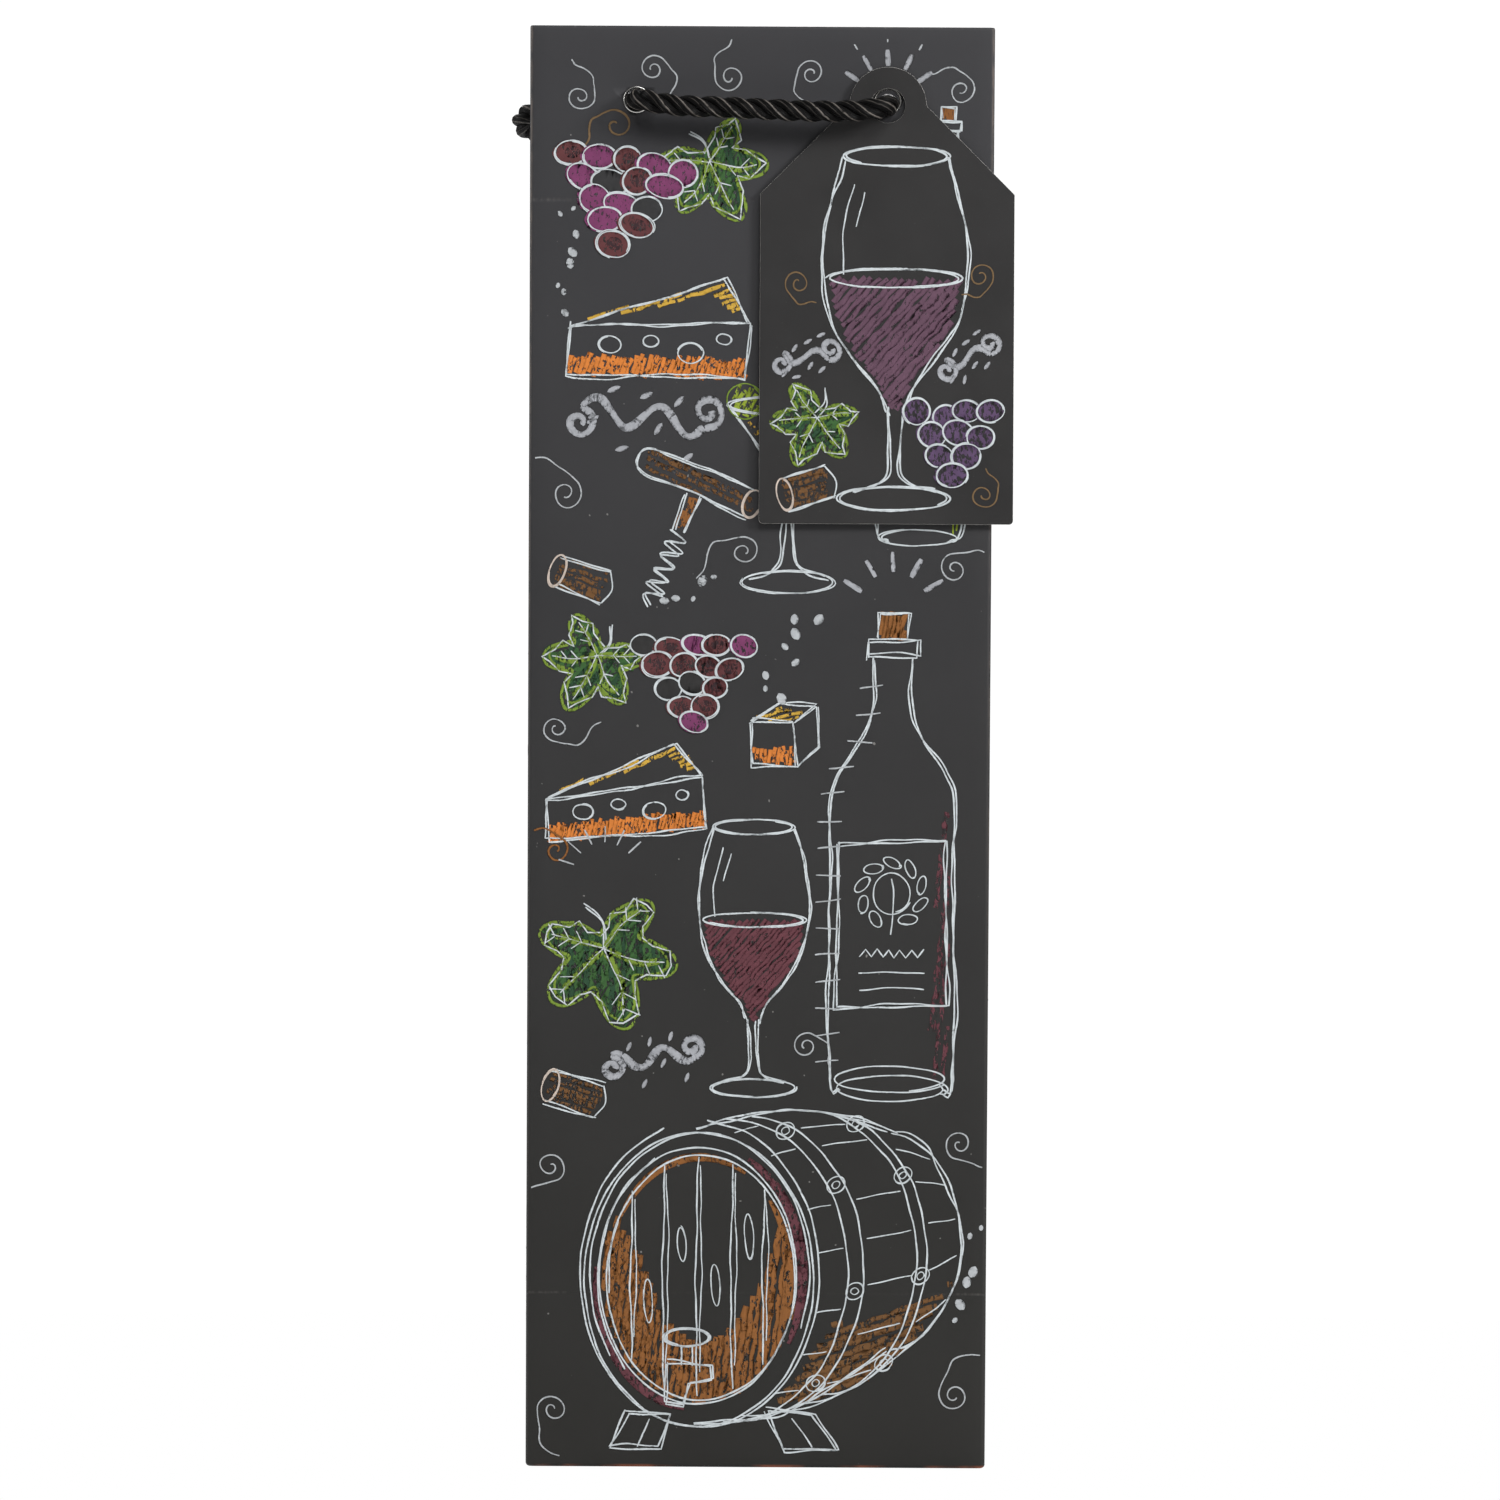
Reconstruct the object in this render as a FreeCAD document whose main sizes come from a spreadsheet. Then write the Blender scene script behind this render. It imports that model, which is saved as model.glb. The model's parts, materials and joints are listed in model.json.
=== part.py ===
import FreeCAD, Part
import math
import os

import Sketcher
from FreeCAD import Placement, Rotation, Vector

# A paper gift bag for one bottle of wine, standing open, in millimetres.
# The origin is the middle of the bottom face. +Z is up and the printed front faces -Y.
# One printed sheet makes the four walls, the hem turned in at the top and the block bottom.
# Two rope handles pass through eyelets, and a gift tag hangs on the front rope.

SIZES = [
    ("bag_width", 114.3, "width of the front and back panels"),
    ("bag_depth", 88.9, "width of the side gussets"),
    ("bag_height", 355.6, "height of the bag"),
    ("paper_wall", 0.3, "thickness of the printed paper"),
    ("hem_depth", 43.0, "height of the hem turned in at the top"),
    ("glue_flap_width", 15.0, "width of the side seam's glued flap"),
    ("bottom_overlap", 10.0, "how far each long bottom flap passes the middle"),
    ("tuck_flap_depth", 38.0, "how far each gusset's bottom flap reaches in"),
    ("top_board_wall", 0.8, "thickness of the card inside the front and back hems"),
    ("top_board_height", 41.0, "height of that card"),
    ("top_board_gap", 0.35, "gap between that card and each gusset"),
    ("bottom_board_wall", 1.2, "thickness of the loose bottom card"),
    ("bottom_board_gap", 0.7, "gap between the bottom card and each wall"),
    ("loose_gap", 0.3, "gap between pieces that move past each other"),
    ("swing_gap", 0.5, "gap between the rear loop's round ends and the eyelets"),
    ("eyelet_spacing", 62.0, "distance between the two eyelets of one panel"),
    ("eyelet_drop", 18.3, "distance from the top edge down to the eyelets"),
    ("eyelet_wall", 0.2, "thickness of an eyelet's barrel"),
    ("eyelet_roll", 0.65, "radius of an eyelet's rolled rim"),
    ("cord_diameter", 5.4, "diameter of the twisted rope"),
    ("cord_fit", 0.05, "radial gap between the rope and an eyelet"),
    ("knot_radius", 6.5, "largest radius of a knot"),
    ("knot_length", 13.0, "length of a knot along the rope"),
    ("knot_shoulder", 2.6, "rounding radius of a knot's top and bottom"),
    ("cord_end_length", 8.0, "rope left over past a knot"),
    ("tag_width", 62.7, "width of the gift tag"),
    ("tag_length", 103.2, "distance from the tag's hole to its lower edge"),
    ("tag_wall", 0.5, "thickness of the tag's card"),
    ("tag_head_radius", 9.5, "radius of the tag's round head"),
    ("tag_corner_radius", 1.0, "radius of the tag's lower corners"),
    ("tag_hole_radius", 4.3, "radius of the tag's punched hole"),
    ("tag_cord_gap", 0.4, "gap between the rope and the top of the tag's hole"),
]

FRONT, BACK = -1, 1
LEFT, RIGHT = -1, 1
MIDDLE = 0
FACES = {"front": FRONT, "back": BACK}
SIDES = {"left": LEFT, "right": RIGHT}

# Routes of the two ropes, each from its left knot to its right knot. A point is measured from
# the left eyelet, the middle of the panel or the right eyelet: X to the right, out from the
# panel's outer face, and up from the eyelets.
FRONT_ROUTE = [
    (LEFT, -0.4, -7.4, -97.0),
    (LEFT, -0.4, -7.4, -75.0),
    (LEFT, -1.6, -6.6, -48.0),
    (LEFT, -0.6, -8.0, -20.0),
    (LEFT, 0.0, -7.7, 0.0),
    (LEFT, 0.0, 6.3, 0.0),
    (LEFT, 15.2, 6.7, -1.0),
    (MIDDLE, 1.5, 6.5, -2.2),
    (RIGHT, -15.0, 6.8, -1.9),
    (RIGHT, 0.0, 6.3, 0.0),
    (RIGHT, 0.0, -7.7, 0.0),
    (RIGHT, 0.8, -8.0, -21.0),
    (RIGHT, 1.8, -6.6, -50.0),
    (RIGHT, 0.7, -7.4, -77.0),
    (RIGHT, 0.7, -7.4, -99.0),
]
BACK_ROUTE = [
    (LEFT, 0.5, -7.4, -62.0),
    (LEFT, 0.5, -7.4, -42.0),
    (LEFT, -0.8, -8.1, -20.0),
    (LEFT, 0.0, -7.7, 0.0),
    (LEFT, 0.0, 6.3, 0.0),
    (LEFT, -13.5, 7.4, 2.0),
    (LEFT, -30.3, 8.0, 2.6),
    (LEFT, -30.3, 17.6, -2.6),
    (LEFT, -13.5, 18.2, -4.4),
    (LEFT, 5.0, 16.8, -6.2),
    (MIDDLE, -6.0, 14.6, -6.6),
    (RIGHT, -17.0, 10.6, -4.6),
    (RIGHT, 0.0, 6.3, 0.0),
    (RIGHT, 0.0, -7.7, 0.0),
    (RIGHT, -0.7, -8.0, -20.0),
    (RIGHT, -1.3, -7.4, -41.0),
    (RIGHT, -1.3, -7.4, -60.0),
]
ARC_SHARE = 0.45


class Size:
    """A length together with the sheet expression that gives it."""

    def __init__(self, text, value):
        self.text = text
        self.value = value

    def combine(self, sign, other, value):
        return Size(f"({self.text} {sign} {other.text})", value)

    def __add__(self, other):
        other = size_of(other)
        return self.combine("+", other, self.value + other.value)

    def __sub__(self, other):
        other = size_of(other)
        return self.combine("-", other, self.value - other.value)

    def __mul__(self, other):
        other = size_of(other)
        return self.combine("*", other, self.value * other.value)

    def __truediv__(self, other):
        other = size_of(other)
        return self.combine("/", other, self.value / other.value)

    def __neg__(self):
        return self * -1


def size_of(number):
    """A plain number as a Size, and a Size as it is."""
    if isinstance(number, Size):
        return number
    return Size(f"({number:g} mm / 1 mm)", float(number))


doc = FreeCAD.newDocument("wine_gift_bag")
sheet = doc.addObject("Spreadsheet::Sheet", "sizes")
given = {}
for row, (alias, millimetres, meaning) in enumerate(SIZES, start=1):
    sheet.set(f"A{row}", meaning)
    sheet.set(f"B{row}", str(millimetres))
    sheet.setAlias(f"B{row}", alias)
doc.recompute()
for alias, millimetres, meaning in SIZES:
    given[alias] = Size(f"sizes.{alias}", float(getattr(sheet, alias)))

# Faces of the walls, measured out from the middle of the bag.
half_width = given["bag_width"] / 2
half_depth = given["bag_depth"] / 2
gusset_face = half_width - given["paper_wall"]
panel_face = half_depth - given["paper_wall"]
board_face = panel_face - given["top_board_wall"]
hem_face = board_face - given["paper_wall"]
hem_foot = given["bag_height"] - given["hem_depth"]

# Layers of the bottom, measured up from the floor.
long_flap_top = given["paper_wall"] * 2
tuck_flap_top = given["paper_wall"] * 3

# Eyelets, rope and tag.
eyelet_height = given["bag_height"] - given["eyelet_drop"]
half_spacing = given["eyelet_spacing"] / 2
clamped_stack = half_depth - hem_face
cord_radius = given["cord_diameter"] / 2
bore_radius = cord_radius + given["cord_fit"]
barrel_radius = bore_radius + given["eyelet_wall"]
rim_radius = bore_radius + given["eyelet_roll"]
rim_face = half_depth + given["eyelet_roll"]
tag_back = rim_face + given["loose_gap"]
tag_hole_drop = given["tag_hole_radius"] - cord_radius - given["tag_cord_gap"]
handle_axis = rim_face + given["swing_gap"] + cord_radius


def bind(piece, **texts):
    """Binds properties to sizes. A double underscore in a name stands for a dot."""
    for name, size in texts.items():
        piece.setExpression(name.replace("__", "."), size_of(size).text)


def place(piece, x, y, z):
    bind(piece, Placement__Base__x=x, Placement__Base__y=y, Placement__Base__z=z)


def plate(name, size, middle, low):
    """A flat rectangular piece, from its size, the middle of its X and Y, and its underside."""
    piece = doc.addObject("Part::Box", name)
    length, width, height = (size_of(extent) for extent in size)
    bind(piece, Length=length, Width=width, Height=height)
    place(piece, size_of(middle[0]) - length / 2, size_of(middle[1]) - width / 2, low)
    return piece


def punch_pair(face_name, face):
    """Two cylinders along Y that cut one panel's eyelet holes through all of its layers."""
    pair = []
    for side_name, side in SIDES.items():
        tool = doc.addObject("Part::Cylinder", f"{face_name}_{side_name}_punch")
        tool.Placement = Placement(Vector(), Rotation(Vector(1, 0, 0), -90))
        bind(tool, Radius=barrel_radius, Height=clamped_stack * 3)
        place(
            tool,
            half_spacing * side,
            (half_depth - clamped_stack / 2) * face - clamped_stack * 3 / 2,
            eyelet_height,
        )
        pair.append(tool)
    both = doc.addObject("Part::MultiFuse", f"{face_name}_punches")
    both.Shapes = pair
    return both


def punched(name, blank, punches):
    piece = doc.addObject("Part::Cut", name)
    piece.Base = blank
    piece.Tool = punches
    return piece


def sketch_outline(body, plane_role, corners, arcs=(), circles=()):
    """A closed outline of straight edges through the corners, with every corner bound to the sheet.

    arcs gives, for an edge that is round, its number, its centre and the one of the centre's
    coordinates that fixes it; each runs anticlockwise unless its last entry is False.
    """
    sketch = body.newObject("Sketcher::SketchObject", f"{body.Name}_outline")
    plane = next(item for item in body.Origin.OriginFeatures if item.Role == plane_role)
    sketch.AttachmentSupport = [(plane, "")]
    sketch.MapMode = "FlatFace"
    round_edges = {edge: (centre, held, forward) for edge, centre, held, forward in arcs}
    starts, ends = [], []
    for edge, start in enumerate(corners):
        end = corners[(edge + 1) % len(corners)]
        start_point = Vector(start[0].value, start[1].value, 0)
        end_point = Vector(end[0].value, end[1].value, 0)
        if edge in round_edges:
            centre, held, forward = round_edges[edge]
            middle = Vector(centre[0].value, centre[1].value, 0)
            first, last = (start_point, end_point) if forward else (end_point, start_point)
            circle = Part.Circle(middle, Vector(0, 0, 1), (start_point - middle).Length)
            angles = [math.atan2(p.y - middle.y, p.x - middle.x) for p in (first, last)]
            sketch.addGeometry(Part.ArcOfCircle(circle, *angles))
            starts.append((edge, 1 if forward else 2))
            ends.append((edge, 2 if forward else 1))
        else:
            sketch.addGeometry(Part.LineSegment(start_point, end_point))
            starts.append((edge, 1))
            ends.append((edge, 2))
    for edge in range(len(corners)):
        following = (edge + 1) % len(corners)
        sketch.addConstraint(Sketcher.Constraint("Coincident", *ends[edge], *starts[following]))
    for edge, corner in enumerate(corners):
        hold(sketch, starts[edge], corner)
    for edge, (centre, held, forward) in round_edges.items():
        hold(sketch, (edge, 3), centre, held)
    for centre, radius in circles:
        circle = Part.Circle(
            Vector(centre[0].value, centre[1].value, 0), Vector(0, 0, 1), radius.value
        )
        edge = sketch.addGeometry(circle)
        hold(sketch, (edge, 3), centre)
        number = sketch.addConstraint(Sketcher.Constraint("Radius", edge, radius.value))
        sketch.setExpression(f"Constraints[{number}]", radius.text)
    return sketch


def hold(sketch, point, position, directions="XY"):
    """Binds a sketch point's distances from the sketch's origin."""
    for direction, size in zip("XY", position):
        if direction in directions:
            number = sketch.addConstraint(
                Sketcher.Constraint(f"Distance{direction}", -1, 1, *point, size.value)
            )
            sketch.setExpression(f"Constraints[{number}]", size.text)


def padded_body(name, plane_role, thickness, corners, **shapes):
    body = doc.addObject("PartDesign::Body", name)
    outline = sketch_outline(body, plane_role, corners, **shapes)
    pad = body.newObject("PartDesign::Pad", f"{name}_pad")
    pad.Profile = outline
    bind(pad, Length=thickness)
    outline.Visibility = False
    return body


def turned_body(name, corners, **shapes):
    """A body turned about its own Z axis from an outline of radius and height."""
    body = doc.addObject("PartDesign::Body", name)
    outline = sketch_outline(body, "XZ_Plane", corners, **shapes)
    turned = body.newObject("PartDesign::Revolution", f"{name}_turned")
    turned.Profile = outline
    turned.ReferenceAxis = (outline, ["V_Axis"])
    turned.Angle = 360
    outline.Visibility = False
    return body


def make_walls(punches):
    """The four walls, the glued side seam and the hem turned in at the top."""
    zero = size_of(0)
    height = given["bag_height"]
    paper = given["paper_wall"]
    pieces = []
    for name, face in FACES.items():
        panel_middle = (half_depth - paper / 2) * face
        blank = plate(f"{name}_blank", (half_width * 2, paper, height), (zero, panel_middle), zero)
        pieces.append(punched(f"{name}_panel", blank, punches[name]))
        flat = plate(
            f"{name}_hem_flat",
            (gusset_face * 2, paper, given["hem_depth"]),
            (zero, (hem_face + paper / 2) * face),
            hem_foot,
        )
        lip = plate(
            f"{name}_hem_lip",
            (gusset_face * 2, panel_face - hem_face, paper),
            (zero, (panel_face + hem_face) / 2 * face),
            height - paper,
        )
        folded = doc.addObject("Part::MultiFuse", f"{name}_hem_folded")
        folded.Shapes = [flat, lip]
        pieces.append(punched(f"{name}_hem", folded, punches[name]))
    for name, side in SIDES.items():
        gusset_middle = (half_width - paper / 2) * side
        pieces.append(
            plate(f"{name}_gusset", (paper, panel_face * 2, height), (gusset_middle, zero), zero)
        )
        pieces.append(
            plate(
                f"{name}_hem",
                (paper, hem_face * 2, given["hem_depth"]),
                ((gusset_face - paper / 2) * side, zero),
                hem_foot,
            )
        )
    seam_foot = tuck_flap_top + given["loose_gap"] * 2 + given["bottom_board_wall"]
    pieces.append(
        plate(
            "side_glue_flap",
            (given["glue_flap_width"], paper, hem_foot - given["loose_gap"] - seam_foot),
            ((gusset_face - given["glue_flap_width"] / 2) * LEFT, panel_face - paper / 2),
            seam_foot,
        )
    )
    return pieces


def make_bottom():
    """The block bottom's four flaps and the loose card that lies on them."""
    zero = size_of(0)
    paper = given["paper_wall"]
    pieces = []
    reach = panel_face + given["bottom_overlap"]
    for name, layer in (("back", 0), ("front", 1)):
        middle = (panel_face - reach / 2) * FACES[name]
        pieces.append(
            plate(
                f"{name}_bottom_flap",
                (gusset_face * 2, reach, paper),
                (zero, middle),
                paper * layer,
            )
        )
    for name, side in SIDES.items():
        outer = gusset_face * side
        inner = (gusset_face - given["tuck_flap_depth"]) * side
        narrow = panel_face - given["tuck_flap_depth"]
        corners = [(outer, -panel_face), (inner, -narrow), (inner, narrow), (outer, panel_face)]
        flap = padded_body(f"{name}_tuck_flap", "XY_Plane", paper, corners)
        place(flap, zero, zero, long_flap_top)
        pieces.append(flap)
    gap = given["bottom_board_gap"] * 2
    pieces.append(
        plate(
            "bottom_board",
            (gusset_face * 2 - gap, panel_face * 2 - gap, given["bottom_board_wall"]),
            (zero, zero),
            tuck_flap_top + given["loose_gap"],
        )
    )
    return pieces


def make_top_boards(punches):
    """The card strips that stiffen the top, between a panel and its hem."""
    pieces = []
    for name, face in FACES.items():
        blank = plate(
            f"{name}_top_board_blank",
            (
                (gusset_face - given["top_board_gap"]) * 2,
                given["top_board_wall"],
                given["top_board_height"],
            ),
            (size_of(0), (board_face + given["top_board_wall"] / 2) * face),
            given["bag_height"] - given["paper_wall"] - given["top_board_height"],
        )
        pieces.append(punched(f"{name}_top_board", blank, punches[name]))
    return pieces


def make_eyelets():
    """Eyelets clenched through panel, card and hem, with a rolled rim at both ends."""
    zero = size_of(0)
    roll = given["eyelet_roll"]
    corners = [
        (rim_radius, zero),
        (bore_radius, roll),
        (bore_radius, -clamped_stack - roll),
        (rim_radius, -clamped_stack),
        (barrel_radius, -clamped_stack),
        (barrel_radius, zero),
    ]
    arcs = [
        (0, (bore_radius, zero), "Y", True),
        (2, (bore_radius, -clamped_stack), "Y", True),
    ]
    pieces = []
    for face_name, face in FACES.items():
        for side_name, side in SIDES.items():
            eyelet = turned_body(f"{face_name}_{side_name}_eyelet", corners, arcs=arcs)
            eyelet.Placement = Placement(Vector(), Rotation(Vector(1, 0, 0), -90 * face))
            place(eyelet, half_spacing * side, half_depth * face, eyelet_height)
            pieces.append(eyelet)
    return pieces


def make_tag():
    """The gift tag: a card with a round head, sloping shoulders and a punched hole."""
    zero = size_of(0)
    half = given["tag_width"] / 2
    head = given["tag_head_radius"]
    hole = -tag_hole_drop
    shoulder = hole - (half - head)
    foot = hole - given["tag_length"]
    corners = [
        (head, hole),
        (-head, hole),
        (-half, shoulder),
        (-half, foot),
        (half, foot),
        (half, shoulder),
    ]
    tag = padded_body(
        "tag_card",
        "XZ_Plane",
        given["tag_wall"],
        corners,
        arcs=[(0, (zero, hole), "Y", True)],
        circles=[((zero, hole), given["tag_hole_radius"])],
    )
    doc.recompute()
    card = tag.Tip
    lower_corners = [
        f"Edge{number}"
        for number, edge in enumerate(tag.Shape.Edges, start=1)
        if len(edge.Vertexes) == 2
        and all(abs(vertex.Z - foot.value) < 0.01 for vertex in edge.Vertexes)
        and abs(edge.Vertexes[0].X - edge.Vertexes[1].X) < 0.01
    ]
    rounding = tag.newObject("PartDesign::Fillet", "tag_corners")
    rounding.Base = (card, lower_corners)
    bind(rounding, Radius=given["tag_corner_radius"])
    place(tag, half_spacing, -tag_back, eyelet_height)
    return [tag]


def route_points(route, face):
    """A rope's points in the bag's frame."""
    reach = half_depth.value
    return [
        Vector(
            half_spacing.value * anchor + across,
            face * (reach + out),
            eyelet_height.value + up,
        )
        for anchor, across, out, up in route
    ]


def rope_line(name, points):
    """Straight runs through the points, joined by tangent arcs as large as the runs allow."""
    edges = []
    reached = points[0]
    radii = []
    for before, corner, after in zip(points, points[1:], points[2:]):
        arriving = corner - before
        leaving = after - corner
        turn = arriving.getAngle(leaving)
        cut = ARC_SHARE * min(arriving.Length, leaving.Length)
        radii.append(cut / math.tan(turn / 2))
        to_corner = Vector(arriving).normalize()
        from_corner = Vector(leaving).normalize()
        start = corner - to_corner * cut
        end = corner + from_corner * cut
        inward = (from_corner - to_corner).normalize()
        sagitta = radii[-1] * (1 / math.cos(turn / 2) - 1)
        edges.append(Part.LineSegment(reached, start).toShape())
        edges.append(Part.Arc(start, corner + inward * sagitta, end).toShape())
        reached = end
    edges.append(Part.LineSegment(reached, points[-1]).toShape())
    line = Part.Wire(edges)
    print(f"{name}: {line.Length:.1f} mm long, arcs of", ", ".join(f"{r:.1f}" for r in radii))
    return line


def rope_solid(name, line, start, towards):
    """A round tube along the line, compared with its section times its length."""
    radius = cord_radius.value
    section = Part.Wire([Part.makeCircle(radius, start, towards - start)])
    solid = line.makePipeShell([section], True, False)
    expected = math.pi * radius**2 * line.Length
    if abs(solid.Volume / expected - 1) > 0.01:
        raise ValueError(f"{name} has volume {solid.Volume:.1f} and not {expected:.1f}")
    return solid


def slab(low_y, high_y):
    """A block across the whole bag between two Y planes."""
    reach = given["bag_width"].value * 2
    block = Part.makeBox(reach, high_y - low_y, given["bag_height"].value * 2)
    block.translate(Vector(-reach / 2, low_y, 0))
    return block


def feature(name, shape):
    piece = doc.addObject("Part::Feature", name)
    piece.Shape = shape
    piece.Placement = Placement()
    return piece


def make_ropes():
    """Both ropes. The rear one is cut at its eyelets, where its loop turns on the bag."""
    front_points = route_points(FRONT_ROUTE, FRONT)
    front_line = rope_line("front rope", front_points)
    front = rope_solid("front rope", front_line, front_points[0], front_points[1])
    pieces = [feature("front_handle_cord", front)]

    back_points = route_points(BACK_ROUTE, BACK)
    back_line = rope_line("back rope", back_points)
    back = rope_solid("back rope", back_line, back_points[0], back_points[1])
    far = rim_face.value + given["bag_depth"].value
    inside = back.common(slab(0, rim_face.value))
    for name, side in SIDES.items():
        tail = next(solid for solid in inside.Solids if solid.CenterOfMass.x * side > 0)
        pieces.append(feature(f"back_{name}_tail", tail))
    loop = back.common(slab(handle_axis.value, far))
    cut_plane = Part.makePlane(
        given["bag_width"].value * 2,
        given["bag_height"].value * 2,
        Vector(-given["bag_width"].value, handle_axis.value, 0),
        Vector(0, -1, 0),
        Vector(1, 0, 0),
    )
    balls = []
    for vertex in back_line.section(cut_plane).Vertexes:
        ball = Part.makeSphere(cord_radius.value, Vector(), Vector(1, 0, 0))
        ball.translate(Vector(vertex.X, handle_axis.value, eyelet_height.value))
        balls.append(ball)
    pieces.append(feature("back_handle_loop", loop.fuse(balls).Solids[0]))
    return pieces, {"front": front_points, "back": back_points}


def make_knots(ends):
    """Overhand knots at the ropes' ends, as plain round solids with the rope end below."""
    zero = size_of(0)
    wide = given["knot_radius"]
    shoulder = given["knot_shoulder"]
    crown = wide - shoulder
    foot = -given["knot_length"]
    end = foot - given["cord_end_length"]
    corners = [
        (zero, zero),
        (zero, end),
        (cord_radius, end),
        (cord_radius, foot),
        (crown, foot),
        (wide, foot + shoulder),
        (wide, -shoulder),
        (crown, zero),
    ]
    arcs = [
        (4, (crown, foot + shoulder), "Y", True),
        (6, (crown, -shoulder), "Y", True),
    ]
    pieces = []
    for face_name, points in ends.items():
        for side_name, top in (("left", points[0]), ("right", points[-1])):
            knot = turned_body(f"{face_name}_{side_name}_knot", corners, arcs=arcs)
            knot.Placement = Placement(top, Rotation())
            pieces.append(knot)
    return pieces


def checked(pieces):
    """Stops on any failed object or bad shape, and gives each sub-part's shape by its label."""
    doc.recompute()
    failed = [item.Name for item in doc.Objects if {"Invalid", "Error"} & set(item.State)]
    if failed:
        raise ValueError(f"these objects failed: {failed}")
    shapes = {}
    for piece in pieces:
        piece.Label = piece.Name
        shape = piece.Shape
        if shape.isNull() or not shape.isValid() or len(shape.Solids) != 1:
            raise ValueError(f"{piece.Label} isn't one valid solid")
        shapes[piece.Label] = shape
    return shapes


punch_tools = {name: punch_pair(name, face) for name, face in FACES.items()}
sub_parts = make_walls(punch_tools) + make_bottom() + make_top_boards(punch_tools)
sub_parts += make_eyelets() + make_tag()
rope_pieces, rope_ends = make_ropes()
sub_parts += rope_pieces + make_knots(rope_ends)

os.makedirs("parts", exist_ok=True)
for label, solid in checked(sub_parts).items():
    box = solid.BoundBox
    print(f"{label:20s} x {box.XMin:8.2f} {box.XMax:8.2f}  y {box.YMin:8.2f} {box.YMax:8.2f}"
          f"  z {box.ZMin:8.2f} {box.ZMax:8.2f}  volume {solid.Volume:10.2f}")
    solid.exportStep(f"parts/{label}.step")
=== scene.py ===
"""A tall gift bag for a wine bottle: printed black paper, satin rope handles, metal eyelets and a card tag.

Lengths in the drawing functions are millimetres, as a printer would mark them up; everything built is in metres.
The front faces -Y, the back +Y, and the bag stands on the floor at z = 0.
"""

import json
import math

import bmesh
import bpy
import numpy as np
from mathutils import Matrix, Vector

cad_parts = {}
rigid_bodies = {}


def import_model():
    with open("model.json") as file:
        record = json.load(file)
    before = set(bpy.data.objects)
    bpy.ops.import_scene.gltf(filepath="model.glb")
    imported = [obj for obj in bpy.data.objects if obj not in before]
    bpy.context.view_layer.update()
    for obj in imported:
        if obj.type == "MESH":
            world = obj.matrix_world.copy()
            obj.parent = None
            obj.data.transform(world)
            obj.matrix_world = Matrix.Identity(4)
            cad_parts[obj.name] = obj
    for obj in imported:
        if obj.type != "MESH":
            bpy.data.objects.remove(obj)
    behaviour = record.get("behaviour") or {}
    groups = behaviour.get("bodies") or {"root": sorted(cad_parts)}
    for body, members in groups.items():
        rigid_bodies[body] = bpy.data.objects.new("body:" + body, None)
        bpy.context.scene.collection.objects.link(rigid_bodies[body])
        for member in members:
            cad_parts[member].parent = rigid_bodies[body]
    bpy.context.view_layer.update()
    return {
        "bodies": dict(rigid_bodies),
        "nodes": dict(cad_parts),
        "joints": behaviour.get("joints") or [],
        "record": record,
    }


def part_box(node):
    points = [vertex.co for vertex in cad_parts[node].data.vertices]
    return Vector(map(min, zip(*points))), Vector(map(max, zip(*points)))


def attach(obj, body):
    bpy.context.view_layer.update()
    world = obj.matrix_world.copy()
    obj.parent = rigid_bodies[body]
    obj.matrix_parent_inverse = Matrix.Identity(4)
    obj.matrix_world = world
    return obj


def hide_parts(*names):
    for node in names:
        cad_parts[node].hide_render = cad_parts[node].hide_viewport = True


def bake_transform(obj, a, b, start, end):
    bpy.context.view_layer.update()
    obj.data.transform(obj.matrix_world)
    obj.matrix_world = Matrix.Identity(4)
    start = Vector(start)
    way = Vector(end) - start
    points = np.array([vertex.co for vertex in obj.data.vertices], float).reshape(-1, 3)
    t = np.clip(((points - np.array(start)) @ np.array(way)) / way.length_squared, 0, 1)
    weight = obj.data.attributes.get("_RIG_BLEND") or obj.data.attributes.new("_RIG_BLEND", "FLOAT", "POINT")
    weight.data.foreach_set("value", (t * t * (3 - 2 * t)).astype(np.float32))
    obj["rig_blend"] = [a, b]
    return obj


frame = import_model()

MM = 0.001

# ---------------------------------------------------------------- sizes read from the frame

PANEL_LOW, PANEL_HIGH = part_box("front_panel")
HEM_LOW, HEM_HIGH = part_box("front_hem")
BOARD_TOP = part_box("bottom_board")[1].z
TAG_LOW, TAG_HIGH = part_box("tag_card")
EYELET_LOW, EYELET_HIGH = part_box("front_right_eyelet")

HALF_WIDTH = PANEL_HIGH.x
HALF_DEPTH = -PANEL_LOW.y
BAG_HEIGHT = PANEL_HIGH.z
PAPER = PANEL_HIGH.y - PANEL_LOW.y
HEM_FOOT = HEM_LOW.z
HEM_STEP_FRONT = HALF_DEPTH + HEM_HIGH.y - PAPER
HEM_STEP_SIDE = PAPER
EYELET_ACROSS = (EYELET_LOW.x + EYELET_HIGH.x) / 2
EYELET_UP = (EYELET_LOW.z + EYELET_HIGH.z) / 2
TAG_MIDDLE = (TAG_LOW.x + TAG_HIGH.x) / 2
TAG_HOLE_UP = 0.3361

FOLD_RADIUS = 0.9 * MM
PANEL_BOW = 0.42 * MM
GUSSET_TUCK = 2.8 * MM
GUSSET_GIVE = 0.3 * MM
BOARD_TRAVEL = 0.2
BOARD_RAISED = BOARD_TRAVEL + BOARD_TOP
MOUTH_SPREAD = 0.25 * MM
FOOT_DRAW = 0.5 * MM
FLAT_FOLD_UP = 43 * MM

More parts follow.
